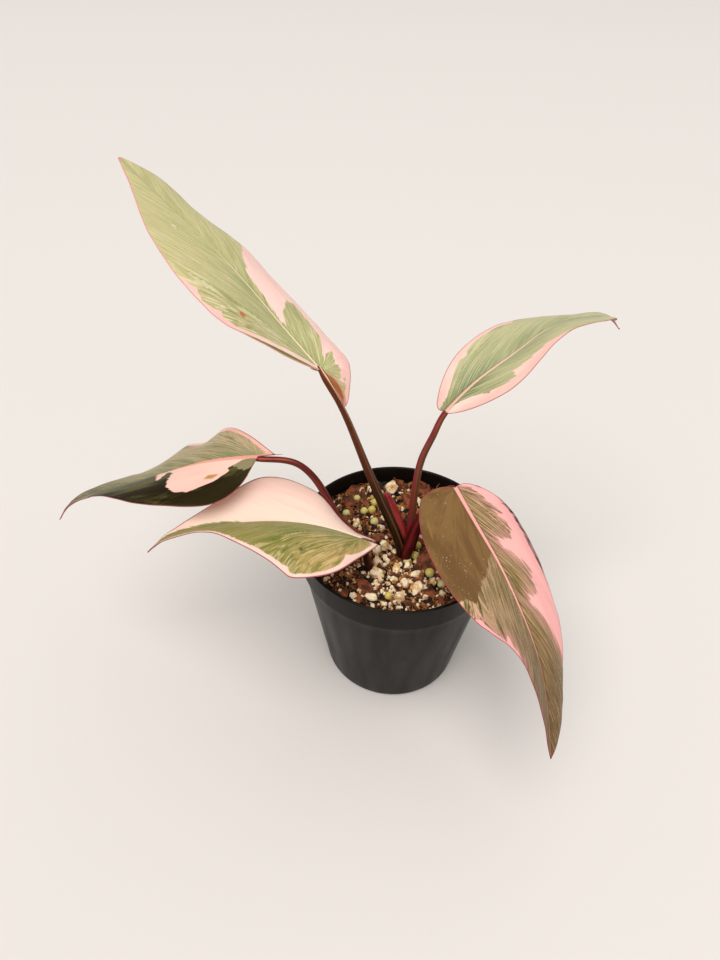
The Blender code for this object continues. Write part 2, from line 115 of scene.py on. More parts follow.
def unit(vectors: np.ndarray) -> np.ndarray:
    """Scale each vector of an array to length 1."""
    return vectors / np.linalg.norm(vectors, axis=-1, keepdims=True)


def smooth(value: np.ndarray, low: float, high: float) -> np.ndarray:
    """Rise smoothly from 0 at low to 1 at high."""
    share = np.clip((value - low) / (high - low), 0.0, 1.0)
    return share * share * (3 - 2 * share)


def natural_curve(points: tuple, count: int) -> np.ndarray:
    """Read even points from the natural cubic curve through a few knots.

    Args:
        points: The knots, as (x, y, z) in millimetres.
        count: How many points to read.

    Returns:
        An array of count points.
    """
    knots = np.asarray(points, dtype=float)
    at = run_along(knots)
    spans = np.diff(at)
    size = len(knots)
    system = np.eye(size)
    right = np.zeros_like(knots)
    for i in range(1, size - 1):
        system[i, i - 1:i + 2] = spans[i - 1], 2 * (spans[i - 1] + spans[i]), spans[i]
        right[i] = 6 * ((knots[i + 1] - knots[i]) / spans[i] - (knots[i] - knots[i - 1]) / spans[i - 1])
    bend = np.linalg.solve(system, right)
    fine = np.linspace(0.0, at[-1], count)
    span = np.clip(np.searchsorted(at, fine, side="right") - 1, 0, size - 2)
    before = ((at[span + 1] - fine) / spans[span])[:, None]
    after = 1.0 - before
    square = (spans[span] ** 2 / 6)[:, None]
    return (before * knots[span] + after * knots[span + 1]
            + square * ((before ** 3 - before) * bend[span] + (after ** 3 - after) * bend[span + 1]))


def run_along(points: np.ndarray) -> np.ndarray:
    """Give the distance run at each point of a line."""
    return np.concatenate([[0.0], np.cumsum(np.linalg.norm(np.diff(points, axis=0), axis=1))])


def blend(values: tuple, share: np.ndarray) -> np.ndarray:
    """Run smoothly through a base, a middle and a tip value.

    Args:
        values: The three values.
        share: Shares of the way from the base to the tip.

    Returns:
        The value at each share.
    """
    base, middle, tip = values
    from_ends = base * (1 - share) * (1 - 2 * share) + tip * share * (2 * share - 1)
    return from_ends + middle * 4 * share * (1 - share)


def along_margin(values: tuple, share: np.ndarray) -> np.ndarray:
    """Run smoothly through the values given for the margin's stations.

    Args:
        values: One value for each station, or none at all for an even margin.
        share: Shares of the blade's length.

    Returns:
        The value at each share.
    """
    if not values:
        return np.zeros_like(share)
    line = natural_curve(tuple((at, value, 0.0) for at, value in zip(MARGIN_STATIONS, values)), 300)
    return np.interp(100 * share, line[:, 0], line[:, 1])


def mesh_of(name: str, points: np.ndarray, faces: list) -> Mesh:
    """Make a smooth-shaded mesh from points in millimetres.

    Args:
        name: The mesh's name.
        points: One row of x, y, z for each point.
        faces: Tuples of point numbers, counter-clockwise seen from outside.

    Returns:
        The mesh, in metres.
    """
    mesh = bpy.data.meshes.new(name)
    mesh.from_pydata((np.asarray(points) * MM).tolist(), [], faces)
    mesh.shade_smooth()
    return mesh


def mark(mesh: Mesh, name: str, values: np.ndarray) -> None:
    """Store a number, or a row of three, for each point of a mesh.

    Args:
        mesh: The mesh that gets the attribute.
        name: The attribute's name, which a material or a node tree reads.
        values: One number or one row of three for each point.
    """
    values = np.asarray(values, dtype=np.float32)
    if values.ndim == 1:
        mesh.attributes.new(name, "FLOAT", "POINT").data.foreach_set("value", values)
    else:
        mesh.attributes.new(name, "FLOAT_VECTOR", "POINT").data.foreach_set("vector", values.ravel())


def add_piece(name: str, mesh: Mesh, finish: Material | None = None) -> Object:
    """Link a mesh into the scene as a piece, with its finish.

    Args:
        name: The piece's name.
        mesh: Its mesh.
        finish: Its material, if it has one yet.

    Returns:
        The piece.
    """
    piece = bpy.data.objects.new(name, mesh)
    bpy.context.scene.collection.objects.link(piece)
    if finish is not None and finish.name not in mesh.materials:
        mesh.materials.append(finish)
    return piece


def settle(piece: Object, slot: str, *nodes: str) -> None:
    """Tie a finished piece to the frame.

    Args:
        piece: The piece, in place.
        slot: The name of a material slot in the record; not used.
        *nodes: The solids that it stands for.
    """
    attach(piece, BODY)
    if nodes:
        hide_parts(*nodes)
    stands_for = ", ".join(nodes) or "no solid"
    log.info("%s: %d faces, stands for %s", piece.name, len(piece.data.polygons), stands_for)


def keep_inside(mesh: Mesh, room_at: Callable[[np.ndarray], np.ndarray]) -> None:
    """Draw the points of a mesh that lie too far out back towards the pot's axis.

    Args:
        mesh: The mesh, in metres.
        room_at: Gives the free radius at heights, in millimetres.
    """
    places = np.empty(3 * len(mesh.vertices), dtype=np.float32)
    mesh.vertices.foreach_get("co", places)
    places = places.reshape(-1, 3)
    reach = np.hypot(places[:, 0], places[:, 1])
    limit = room_at(places[:, 2] / MM) * MM
    places[:, :2] *= np.minimum(1.0, limit / np.maximum(reach, 1e-9))[:, None]
    mesh.vertices.foreach_set("co", places.ravel())
    mesh.update()


def run_tree(piece: Object, tree_and_keys: tuple, values: dict) -> Mesh:
    """Run a Geometry Nodes tree on a piece and keep what it makes as a plain mesh.

    Args:
        piece: The piece, which gets the mesh.
        tree_and_keys: The tree and the identifier of each of its inputs.
        values: The value of each input.

    Returns:
        The mesh.
    """
    tree, keys = tree_and_keys
    layer = piece.modifiers.new(tree.name, "NODES")
    layer.node_group = tree
    for label, value in values.items():
        layer[keys[label]] = value
    view = bpy.context.evaluated_depsgraph_get()
    mesh = bpy.data.meshes.new_from_object(piece.evaluated_get(view))
    piece.modifiers.clear()
    piece.data = mesh
    return mesh


def feed(tree: NodeTree, node: Node, inputs: dict) -> None:
    """Give a node's inputs their values or links.

    Args:
        tree: The tree that holds the node.
        node: The node.
        inputs: A value, a node or an output socket for each input, by name or number.
    """
    for key, value in inputs.items():
        if isinstance(value, Node):
            value = value.outputs[0]
        if isinstance(value, NodeSocket):
            tree.links.new(value, node.inputs[key])
        else:
            node.inputs[key].default_value = value


def add_node(tree: NodeTree, kind: str, settings: dict | None = None, inputs: dict | None = None) -> Node:
    """Add a node to a tree, set its properties and feed its inputs.

    Args:
        tree: A material's tree or a Geometry Nodes tree.
        kind: The node's type, such as "ShaderNodeTexNoise".
        settings: Properties of the node and their values.
        inputs: A value, a node or an output socket for each input, by name or number.

    Returns:
        The node.
    """
    node = tree.nodes.new(kind)
    for key, value in (settings or {}).items():
        setattr(node, key, value)
    feed(tree, node, inputs or {})
    return node


class Recipe:
    """A material under construction, filled one node at a time."""

    def __init__(self, name: str) -> None:
        """Start an empty material with a Principled shader.

        Args:
            name: The material's name.
        """
        self.material = bpy.data.materials.new(name)
        self.material.use_nodes = True
        self.tree = self.material.node_tree

    def add(self, kind: str, settings: dict | None = None, inputs: dict | None = None,
            output: int | str = 0) -> NodeSocket:
        """Add a node and give one of its outputs, by name or number."""
        return add_node(self.tree, kind, settings, inputs).outputs[output]

    def finish(self, inputs: dict) -> Material:
        """Feed the Principled shader and give the finished material."""
        feed(self.tree, self.tree.nodes["Principled BSDF"], inputs)
        return self.material

    def solid_place(self) -> NodeSocket:
        """Give the place in the object's own space, in metres."""
        return self.add("ShaderNodeTexCoord", output="Object")

    def read(self, name: str, output: str = "Vector") -> NodeSocket:
        """Read an attribute of the mesh."""
        return self.add("ShaderNodeAttribute", {"attribute_name": name}, output=output)

    def split(self, vector: NodeSocket) -> list[NodeSocket]:
        """Split a vector into its three numbers."""
        return list(self.add("ShaderNodeSeparateXYZ", None, {0: vector}).node.outputs)

    def stretched(self, place: NodeSocket, factors: tuple) -> NodeSocket:
        """Multiply the three numbers of a place, so that a pattern runs along one of them."""
        return self.add("ShaderNodeVectorMath", {"operation": "MULTIPLY"}, {0: place, 1: factors})

    def number(self, operation: str, *values: float | NodeSocket) -> NodeSocket:
        """Work out a number from one, two or three others."""
        return self.add("ShaderNodeMath", {"operation": operation}, dict(enumerate(values)))

    def ramp(self, value: NodeSocket, low: float, high: float, most: float = 1.0, least: float = 0.0,
             kind: str = "SMOOTHSTEP") -> NodeSocket:
        """Run from least to most between two values, and stay there outside them.

        Args:
            value: The number that is read.
            low: Where it gives `least`; it may be above `high`.
            high: Where it gives `most`.
            most: The result at `high`.
            least: The result at `low`.
            kind: SMOOTHSTEP for soft ends or LINEAR.

        Returns:
            The result.
        """
        return self.add("ShaderNodeMapRange", {"interpolation_type": kind}, {
            "Value": value, "From Min": low, "From Max": high, "To Min": least, "To Max": most})

    def noise(self, place: NodeSocket, scale: float, detail: float, roughness: float = 0.5,
              distortion: float = 0.0, dimensions: str = "3D") -> NodeSocket:
        """Make a cloudy pattern, about 0.5 on average.

        Args:
            place: Where it is read.
            scale: How many of its patches go into one unit.
            detail: How many times finer patches are added.
            roughness: How strong the finer patches are.
            distortion: How much the pattern is warped.
            dimensions: "2D" or "3D".

        Returns:
            The pattern, from 0 to 1.
        """
        return self.add("ShaderNodeTexNoise", {"noise_dimensions": dimensions}, {
            "Vector": place, "Scale": scale, "Detail": detail, "Roughness": roughness,
            "Distortion": distortion})

    def cover(self, colour: str | NodeSocket, *layers: tuple) -> NodeSocket:
        """Lay colours over a colour.

        Args:
            colour: The lowest colour, as a hex code or a socket.
            *layers: Pairs of a mask and the colour that it lets through, from below.

        Returns:
            The colour of them all.
        """
        for mask, over in layers:
            under, over = [linear(c) if isinstance(c, str) else c for c in (colour, over)]
            colour = self.add("ShaderNodeMix", {"data_type": "RGBA"}, {
                MIX_FACTOR: mask, MIX_UNDER: under, MIX_OVER: over}, MIX_RESULT)
        return colour

    def bump(self, height: NodeSocket, strength: float, depth: float) -> NodeSocket:
        """Raise the surface by a pattern, `depth` being its full height in millimetres."""
        return self.add("ShaderNodeBump", None, {
            "Strength": strength, "Distance": depth * MM, "Height": height})


@dataclass(frozen=True)
class Patch:
    """A coloured area of one half of a blade.

    The outline is a ring of (along, across) places in hundredths: along runs from the
    base to the tip and across from the midrib to the margin. A place past 100 is off
    the blade, so that the area runs out over the margin.
    """

    tone: Tone
    half: Half
    outline: tuple

    def depth(self, along: np.ndarray, across: np.ndarray, length: float, width: np.ndarray) -> np.ndarray:
        """Tell how deep inside the outline places lie.

        Args:
            along: Each place's share of the blade's length.
            across: Each place's share of the half's width there.
            length: The blade's length.
            width: The half's width at each place.

        Returns:
            Millimetres, negative outside.
        """
        ring = np.array(self.outline, dtype=float) / 100
        following = np.roll(ring, -1, axis=0)
        a_x = (ring[:, 0] - along[:, None]) * length
        a_y = (ring[:, 1] - across[:, None]) * width[:, None]
        b_x = (following[:, 0] - along[:, None]) * length
        b_y = (following[:, 1] - across[:, None]) * width[:, None]
        rise = np.where(b_y == a_y, 1.0, b_y - a_y)
        meets = ((a_y > 0) != (b_y > 0)) & (a_x - a_y * (b_x - a_x) / rise > 0)
        away = distance_to_lines(a_x, a_y, b_x, b_y)
        return np.where(meets.sum(axis=1) % 2 == 1, away, -away)


def distance_to_lines(a_x: np.ndarray, a_y: np.ndarray, b_x: np.ndarray, b_y: np.ndarray) -> np.ndarray:
    """Give the distance from each row's origin to the nearest of its straight lines.

    Args:
        a_x: Where each line starts, one row for each place and one column for each line.
        a_y: The same, across.
        b_x: Where each line ends.
        b_y: The same, across.

    Returns:
        One distance for each row.
    """
    run_x = b_x - a_x
    run_y = b_y - a_y
    share = -(a_x * run_x + a_y * run_y) / np.maximum(run_x ** 2 + run_y ** 2, 1e-9)
    share = np.clip(share, 0.0, 1.0)
    return np.hypot(a_x + share * run_x, a_y + share * run_y).min(axis=1)


# Where the two noises of a leaf skin turn into its pale and dark streaks and hairs
PALE_STREAKS = (0.49, 0.67)
DARK_STREAKS = (0.5, 0.34)
PALE_HAIRS = (0.53, 0.64)
DARK_HAIRS = (0.47, 0.36)


@dataclass(frozen=True)
class LeafSkin:
    """Living leaf cuticle: a satin waxy skin over green, pink and bronze sectors.

    The sectors end along the side veins, so that their edges are jagged and feathered,
    and pale streaks one or two millimetres apart follow the same veins. The green runs
    from `inner` at the midrib to `outer` at the margin, and on the last part of the
    blade to `tip_tone`. `highlight` tints the shine of leaves that mirror warm things.
    """

    name: str
    inner: str
    outer: str
    streak: str
    shade: str
    pink: str
    blush: str
    midrib: str
    rim: str
    under: str
    streaks: float
    feather: float
    midrib_width: float
    midrib_until: float
    tip_tone: str
    tip_tone_at: tuple
    tip_tone_share: float
    dark: str = "#3a4226"
    dark_worn: str = "#4d5636"
    grey: str = "#989c7c"
    scar: str = "#a06a3c"
    fineness: float = 1.0
    crispness: float = 0.16
    halo: float = 0.0
    # A dark line painted beside the midrib as the shadow of its channel; none if empty
    rib_shadow: str = ""
    rim_width: float = 0.22
    worn_tipward: float = 0.0
    # How much paler a dark sector grows toward the margin; a negative value darkens the margin, partly as
    # painted shade
    outward_paling: float = 0.0
    tip_from: float = 0.985
    few_specks: tuple = (0.4, 0.75)
    highlight: tuple = (1.0, 1.0, 1.0)
    fold_line: float = 0.0
    specks: float = 0.0
    sheen: float = 0.28
    roughness: float = 0.42

    def sector_masks(self, skin: Recipe, depths: list, along: NodeSocket, grain: NodeSocket) -> list:
        """Turn depths inside the sectors into masks with jagged edges.

        Args:
            skin: The material.
            depths: How deep a place lies in the pink, dark and grey sectors.
            along: Its share of the blade's length.
            grain: The place, stretched along the veins.

        Returns:
            One mask for each depth.
        """
        tooth = skin.noise(grain, 0.42, 6.0, 0.68, dimensions="2D")
        calm = skin.ramp(along, 0.0, 0.16, 4 * self.feather, self.feather)
        jag = skin.number("MULTIPLY", skin.number("SUBTRACT", tooth, 0.5), calm)
        moved = [skin.number("ADD", depth, jag) for depth in depths]
        return [skin.ramp(depth, -self.crispness, self.crispness) for depth in moved]

    def rib_masks(self, skin: Recipe, along: NodeSocket, across: NodeSocket) -> tuple:
        """Mask the midrib, which narrows and fades tipward, and the dark line beside it, a painted shadow of
        the midrib's channel.

        Args:
            skin: The material.
            along: A place's share of the blade's length.
            across: Its distance from the midrib.

        Returns:
            The two masks.
        """
        width = skin.ramp(along, 0.0, 1.0, 0.25 * self.midrib_width, self.midrib_width, "LINEAR")
        inside = skin.number("SUBTRACT", width, across)
        fade = skin.ramp(along, self.midrib_until, 0.5 * self.midrib_until, 0.95, 0.25)
        rib = skin.number("MULTIPLY", skin.ramp(inside, -0.12, 0.12), fade)
        off_side = skin.number("ABSOLUTE", skin.number("ADD", inside, 0.24))
        return rib, skin.ramp(off_side, 0.24, 0.06, 0.5 if self.rib_shadow else 0.0)

    def speck_mask(self, skin: Recipe) -> NodeSocket:
        """Mask a few pale specks, which lie in loose groups.

        Args:
            skin: The material.

        Returns:
            The mask.
        """
        solid = skin.solid_place()
        away = skin.add("ShaderNodeTexVoronoi", None, {"Vector": solid, "Scale": 800.0}, "Distance")
        few = skin.ramp(skin.noise(solid, 120.0, 2.0), *self.few_specks, 0.15, kind="LINEAR")
        return skin.number("MULTIPLY", skin.number("LESS_THAN", away, few), self.specks)

    def worn_dark(self, skin: Recipe, along: NodeSocket, share_out: NodeSocket, cloud: NodeSocket,
                  hair: NodeSocket) -> NodeSocket:
        """Mix the dark sectors' colour from its deep and its worn tone.

        Args:
            skin: The material.
            along: A place's share of the blade's length.
            share_out: Its share of the half's width.
            cloud: Broad noise.
            hair: Fine noise along the veins.

        Returns:
            The colour.
        """
        worn = skin.number("MULTIPLY_ADD", along, self.worn_tipward, cloud)
        # A negative outward share darkens the margin, which on the grey-green leaf is partly painted shade
        worn = skin.number("MULTIPLY_ADD", share_out, self.outward_paling, worn)
        worn = skin.number("MULTIPLY_ADD", hair, 0.5, worn)
        return skin.cover(self.dark, (skin.ramp(worn, 0.62, 0.92), self.dark_worn))

    def material(self) -> Material:
        """Make the skin's material, which reads the blade's own attributes.

        Returns:
            The material.
        """
        skin = Recipe(self.name)
        place = skin.read("vein_place")
        across, share_out = skin.split(place)[1:]
        depths = skin.split(skin.read("zones"))
        rim, along, under = skin.split(skin.read("edges"))
        grain = skin.stretched(place, (1.0, 0.075, 0.0))
        streak = skin.noise(grain, 1.2 * self.fineness, 6.0, 0.66, 0.55, "2D")
        hair = skin.noise(grain, 3.3 * self.fineness, 4.0, 0.65, 0.5, "2D")
        cloud = skin.noise(place, 0.13, 3.0, dimensions="2D")

        pink_mask, dark_mask, grey_mask = self.sector_masks(skin, depths, along, grain)
        outward = skin.number("MULTIPLY_ADD", cloud, 0.9, share_out)
        outward = skin.number("MULTIPLY_ADD", streak, 0.7, outward)
        near_pink = skin.ramp(depths[Tone.PINK.value], -5.5, 0.5, self.halo)
        halo_mask = skin.number("MULTIPLY", near_pink, skin.ramp(hair, 0.42, 0.62))
        blush_mask = skin.ramp(skin.number("MULTIPLY_ADD", cloud, 1.6, share_out), 1.0, 2.1)
        rib_mask, rib_shadow_mask = self.rib_masks(skin, along, across)
        off_fold = skin.number("ABSOLUTE", depths[Tone.DARK.value])
        strength = 0.9 * self.streaks
        colour = skin.cover(
            self.inner,
            (skin.ramp(outward, 0.65, 1.5), self.outer),
            (skin.ramp(streak, *DARK_STREAKS, self.streaks), self.shade),
            (skin.ramp(streak, *PALE_STREAKS, strength), self.streak),
            (skin.ramp(along, *self.tip_tone_at, self.tip_tone_share), self.tip_tone),
            (skin.ramp(hair, *PALE_HAIRS, strength), self.streak),
            (skin.ramp(hair, *DARK_HAIRS, strength), self.shade),
            (grey_mask, self.grey),
            (dark_mask, self.worn_dark(skin, along, share_out, cloud, hair)),
            (halo_mask, self.blush),
            (skin.number("MULTIPLY", under, 0.72), self.under),
            (pink_mask, skin.cover(self.pink, (blush_mask, self.blush))),
            # Painted shadow of the midrib's channel, as a thin line beside it
            (rib_shadow_mask, self.rib_shadow or self.shade),
            (rib_mask, self.midrib),
            (skin.ramp(skin.read("scar", "Fac"), -0.5, 0.3), self.scar),
            (skin.ramp(off_fold, 0.14, 0.04, self.fold_line), self.rim),
            (self.speck_mask(skin), PALE_SPECKS),
            (skin.ramp(along, self.tip_from, 0.998, 0.75), self.rim),
            (skin.ramp(rim, self.rim_width, 0.4 * self.rim_width, 0.9), self.rim))
        height = skin.number("MULTIPLY_ADD", hair, 0.4, streak)
        return skin.finish({
            "Base Color": colour, "Normal": skin.bump(height, 0.5, 0.12),
            "Roughness": skin.ramp(streak, 0.3, 0.7, self.roughness + 0.08, self.roughness - 0.06, "LINEAR"),
            "Specular IOR Level": self.sheen, "Specular Tint": (*self.highlight, 1.0),
            "Subsurface Weight": 0.12, "Subsurface Scale": 1.0,
            "Subsurface Radius": (0.0012, 0.0006, 0.0003)})


# The blade's grid, which is finest at its base and along its midrib
LEAF_ROWS = 180
LEAF_COLUMNS = 34
ROW_CROWDING = 1.25
COLUMN_CROWDING = 1.6
VEIN_SWEEP = 1.15
OUTWARD_SWEEP = 1.4
BULGE_RUN = 0.03

# The tip, and the thin hook that some tips are drawn out into
TIP_AT = 0.998
TIP_HALF_WIDTH = 0.35
TIP_ROUND_FROM = 0.98
TIP_ROUNDING = 0.85
TIP_STRAIGHT_FROM = 0.9
HOOK_THINNING = 0.8
HOOK_RUN = 0.035

# The margin's slow wave, and how soon the basal lobes fold away
WAVES_PER_LEAF = 1.5
LOBE_LEAN_RUN = 2.5

# Thickness, and the ridge of the midrib on the underside
BLADE = 0.5
EDGE_THINNING = 0.6
EDGE_RUN = 1.3
EDGE_ROUNDING = 0.15
RIDGE = 1.45
RIDGE_HALF_WIDTH = 0.95

# The channel over the midrib with its two shoulders, as (height, place, half width)
CHANNEL = ((-0.3, 0.0, 0.5), (0.16, 1.1, 0.4))

# Side veins: how they lean tipward, how far apart they start, where they come clear of the
# midrib, and how deep and wide their furrows are
VEIN_LEAN = 2.0
VEIN_SPACING = 4.4
VEIN_CLEAR = (0.8, 3.5)
VEIN_DEPTH = 0.06
VEIN_HALF_WIDTH = 0.5
VEIN_SWELL = 0.03
LOBE_VEIN_SPAN = 14.0

# Small ripples of the margin, as (height, length of the wave)
RIPPLES = ((0.12, 21.0), (0.05, 8.3))

# How far apart the patterns of the two halves are read, and the most that a zone depth tells
HALF_SHIFT = 200.0
ZONE_REACH = 8.0


@dataclass(frozen=True)
class BladeGrid:
    """A blade's places, in rows from its base to its tip.

    `along` is their share of the length, `across` that of the half's width, negative on
    the left, and `width` the half's width there. `y` and `x` are their distances along
    and across the midrib, and `loop` holds the numbers of those round the edge.
    """

    along: np.ndarray
    across: np.ndarray
    width: np.ndarray
    y: np.ndarray
    x: np.ndarray
    loop: np.ndarray


@dataclass
class LeafBlade:
    """One leaf blade: a thin folded, curled and waved surface round its midrib.

    Threes hold for the base, the middle and the tip, and pairs for the left and the
    right half. The shape's values are those of the solid that the blade stands for, to which
    `base_bulge` adds a rounder base, `lobe_lean` a fold of the basal lobes, `ruffles`
    single waves of the margin, each as (half, share of the length, spread, out, up), and
    `outline` and `lift` the margin's own unevenness, out and up at each of its stations.
    From `hook_from` on, the tip is drawn out into a thin hook.
    """

    node: str
    slot: str
    skin: LeafSkin
    midrib: tuple
    half_width: tuple
    lobe: tuple
    lobe_inset: tuple
    lobe_at: float
    fullness: tuple
    roll: tuple
    fold_left: tuple
    fold_right: tuple
    curl: tuple
    wave: tuple
    patches: tuple
    outline: tuple
    lift: tuple = ((), ())
    facing: tuple = (0.0, 0.0, 1.0)
    base_bulge: tuple = (0.0, 0.0)
    lobe_lean: tuple = (0.0, 0.0, 0.0)
    ruffles: tuple = ()
    hook_from: float = 1.0

    def __post_init__(self) -> None:
        """Measure the midrib's curve once."""
        self.points = natural_curve(self.midrib, 240)
        self.along = run_along(self.points)
        self.heading = unit(np.gradient(self.points, self.along, axis=0))
        self.length = float(self.along[-1])

    def frame_at(self, y: np.ndarray) -> tuple:
        """Give the directions of the blade along its midrib.

        Args:
            y: Distances along the midrib; those off its ends lie on its straight run.

        Returns:
            The midrib's points and its headings, facings and rightward directions there.
        """
        inside = np.clip(y, 0.0, self.length)
        point = np.stack([np.interp(inside, self.along, self.points[:, i]) for i in range(3)], -1)
        heading = unit(np.stack([np.interp(inside, self.along, self.heading[:, i]) for i in range(3)], -1))
        point = point + heading * (y - inside)[..., None]
        roll = np.radians(blend(self.roll, inside / self.length))[..., None]
        facing = np.broadcast_to(unit(np.array(self.facing)), heading.shape)
        facing = unit(facing - np.sum(facing * heading, -1, keepdims=True) * heading)
        facing = facing * np.cos(roll) + np.cross(heading, facing) * np.sin(roll)
        return point, heading, facing, np.cross(heading, facing)

    def surface(self, y: np.ndarray, x: np.ndarray) -> np.ndarray:
        """Give surface points.

        Args:
            y: Distances along the midrib.
            x: Distances across it, positive to the right.

        Returns:
            The points in millimetres.
        """
        centre, _, facing, right = self.frame_at(y)
        share = np.clip(y / self.length, 0.0, 1.0)
        is_right = (x > 0).astype(int)
        fold = np.where(is_right, blend(self.fold_right, share), blend(self.fold_left, share))
        fold = np.radians(fold)
        width = np.array(self.half_width)[is_right]
        bend = np.radians(np.array(self.curl, dtype=float))[is_right] / width
        out = np.abs(x)
        across = (np.sin(fold) - np.sin(fold - bend * out)) / bend
        rise = (np.cos(fold - bend * out) - np.cos(fold)) / bend
        size, phase = self.wave
        turn = WAVES_PER_LEAF * share + phase + 0.5 * is_right
        rise = rise + size * (out / width) ** 2 * np.sin(2 * math.pi * turn)
        for half, at, spread, _, up in self.ruffles:
            there = (is_right == half.value) * np.exp(-((share - at) / spread) ** 2)
            rise = rise + up * (out / width) ** 2 * there
        uneven = np.where(is_right, along_margin(self.lift[1], share), along_margin(self.lift[0], share))
        rise = rise + uneven * (out / width) ** 2
        lean = np.maximum(-y, 0.0) ** 2 / (np.abs(y) + LOBE_LEAN_RUN)
        centre = centre + lean[..., None] * np.array(self.lobe_lean)
        return centre + right * (np.sign(x) * across)[..., None] + facing * rise[..., None]

    def margin(self, share: np.ndarray, half: Half) -> tuple:
        """Give the places of the margin.

        Args:
            share: Shares of the blade's length.
            half: The half whose margin it is.

        Returns:
            The margin's distances across and along the midrib.
        """
        low, high = self.fullness
        widest = low / (low + high)
        peak = widest ** low * (1 - widest) ** high
        back = (share / self.lobe_at) * np.exp(1 - share / self.lobe_at)
        x = self.half_width[half.value] * share ** low * (1 - share) ** high / peak
        for side, at, spread, further, _ in self.ruffles:
            if side is half:
                x = x + further * np.exp(-((share - at) / spread) ** 2)
        x = x + along_margin(self.outline[half.value], share)
        return x - self.lobe_inset[half.value] * back, self.length * share - self.lobe[half.value] * back

    def grid(self) -> BladeGrid:
        """Lay out the blade's grid.

        Returns:
            The grid.
        """
        first = self.lobe_at * 0.95
        share = first + (TIP_AT - first) * np.linspace(0.0, 1.0, LEAF_ROWS) ** ROW_CROWDING
        even = np.linspace(-1.0, 1.0, 2 * LEAF_COLUMNS + 1)
        column = np.sign(even) * np.abs(even) ** COLUMN_CROWDING
        along, across = np.meshgrid(share, column, indexing="ij")
        narrowest = TIP_HALF_WIDTH * np.sqrt(1 - TIP_ROUNDING * smooth(along, TIP_ROUND_FROM, TIP_AT))
        on_right = across > 0
        x_left, y_left = self.margin(along, Half.LEFT)
        x_right, y_right = self.margin(along, Half.RIGHT)
        width = np.maximum(np.where(on_right, x_right, x_left), narrowest)
        width = width * (1 - HOOK_THINNING * smooth(along, self.hook_from, self.hook_from + HOOK_RUN))
        y_midrib = self.length * ((along - first) / (1 - first)) ** VEIN_SWEEP
        straight = self.length * along + TIP_HALF_WIDTH
        y_midrib = y_midrib + smooth(along, TIP_STRAIGHT_FROM, TIP_AT) * (straight - y_midrib)
        y = y_midrib + np.abs(across) ** OUTWARD_SWEEP * (np.where(on_right, y_right, y_left) - y_midrib)
        bulge = np.where(on_right, self.base_bulge[1], self.base_bulge[0])
        y = y - bulge * 4 * np.abs(across) * (1 - np.abs(across)) * np.exp(-(along - first) / BULGE_RUN)
        number = np.arange(along.size).reshape(along.shape)
        loop = np.concatenate([number[0, :-1], number[:-1, -1], number[-1, :0:-1], number[:0:-1, 0]])
        return BladeGrid(along, across, width, y, across * width, loop)

    def vein_number(self, y: np.ndarray, x: np.ndarray) -> np.ndarray:
        """Give the distance along the midrib at which the side vein through a place starts.

        The veins of the basal lobes fan out from the base, and get negative distances.

        Args:
            y: Distances of the places along the midrib.
            x: Their distances across it.

        Returns:
            One distance for each place.
        """
        out = np.abs(x)
        lean = VEIN_LEAN * (1 + 0.2 * out / max(self.half_width))
        start = y - lean * out
        spread = np.arctan2(out, y) - math.atan(1 / VEIN_LEAN)
        return np.where(start > 0, start, -LOBE_VEIN_SPAN * np.maximum(spread, 0.0))

    def relief(self, grid: BladeGrid) -> np.ndarray:
        """Give how far the surface stands above the plain blade.

        Args:
            grid: The blade's grid.

        Returns:
            Heights of the midrib's channel, the side veins and the margin's ripples.
        """
        out = np.abs(grid.x)
        channel = sum(height * np.exp(-((out - at) / wide) ** 2) for height, at, wide in CHANNEL)
        vein = self.vein_number(grid.y, grid.x)
        off = np.abs((vein / VEIN_SPACING) % 1.0 - 0.5) * VEIN_SPACING
        clear = smooth(out, *VEIN_CLEAR) * (1 - np.abs(grid.across) ** 3) * (1 - 0.6 * grid.along)
        swell = VEIN_SWELL * np.cos(2 * math.pi * vein / VEIN_SPACING)
        furrow = -VEIN_DEPTH * np.exp(-(off / VEIN_HALF_WIDTH) ** 2) - swell
        (high, long), (low, short) = RIPPLES
        ripple = high * np.sin(2 * math.pi * (grid.y / long + 0.4 * np.sign(grid.x)))
        ripple = ripple + low * np.sin(2 * math.pi * grid.y / short)
        return channel * (1 - grid.along) ** 0.6 + furrow * clear + ripple * np.abs(grid.across) ** 6

    def rim_distance(self, grid: BladeGrid) -> np.ndarray:
        """Measure how far each place lies from the blade's edge.

        Args:
            grid: The blade's grid.

        Returns:
            One distance for each place, in the grid's shape.
        """
        ring_y = grid.y.ravel()[grid.loop]
        ring_x = grid.x.ravel()[grid.loop]
        next_y = np.roll(ring_y, -1)
        next_x = np.roll(ring_x, -1)
        rows = [distance_to_lines(ring_y - row_y[:, None], ring_x - row_x[:, None],
                                  next_y - row_y[:, None], next_x - row_x[:, None])
                for row_y, row_x in zip(grid.y, grid.x)]
        return np.stack(rows)

    def zone_depths(self, grid: BladeGrid) -> np.ndarray:
        """Tell how deep each place lies in each tone's patches.

        Args:
            grid: The blade's grid.

        Returns:
            One row for each place and one column for each tone, in millimetres.
        """
        along, across, width = grid.along.ravel(), grid.across.ravel(), grid.width.ravel()
        depths = np.full((along.size, len(Tone)), -ZONE_REACH)
        sides = np.where(across > 0, Half.RIGHT.value, Half.LEFT.value)
        for patch in self.patches:
            here = (sides == patch.half.value) | (across == 0)
            found = patch.depth(along[here], np.abs(across)[here], self.length, width[here])
            column = depths[here, patch.tone.value]
            depths[here, patch.tone.value] = np.maximum(column, np.clip(found, -ZONE_REACH, ZONE_REACH))
        return depths

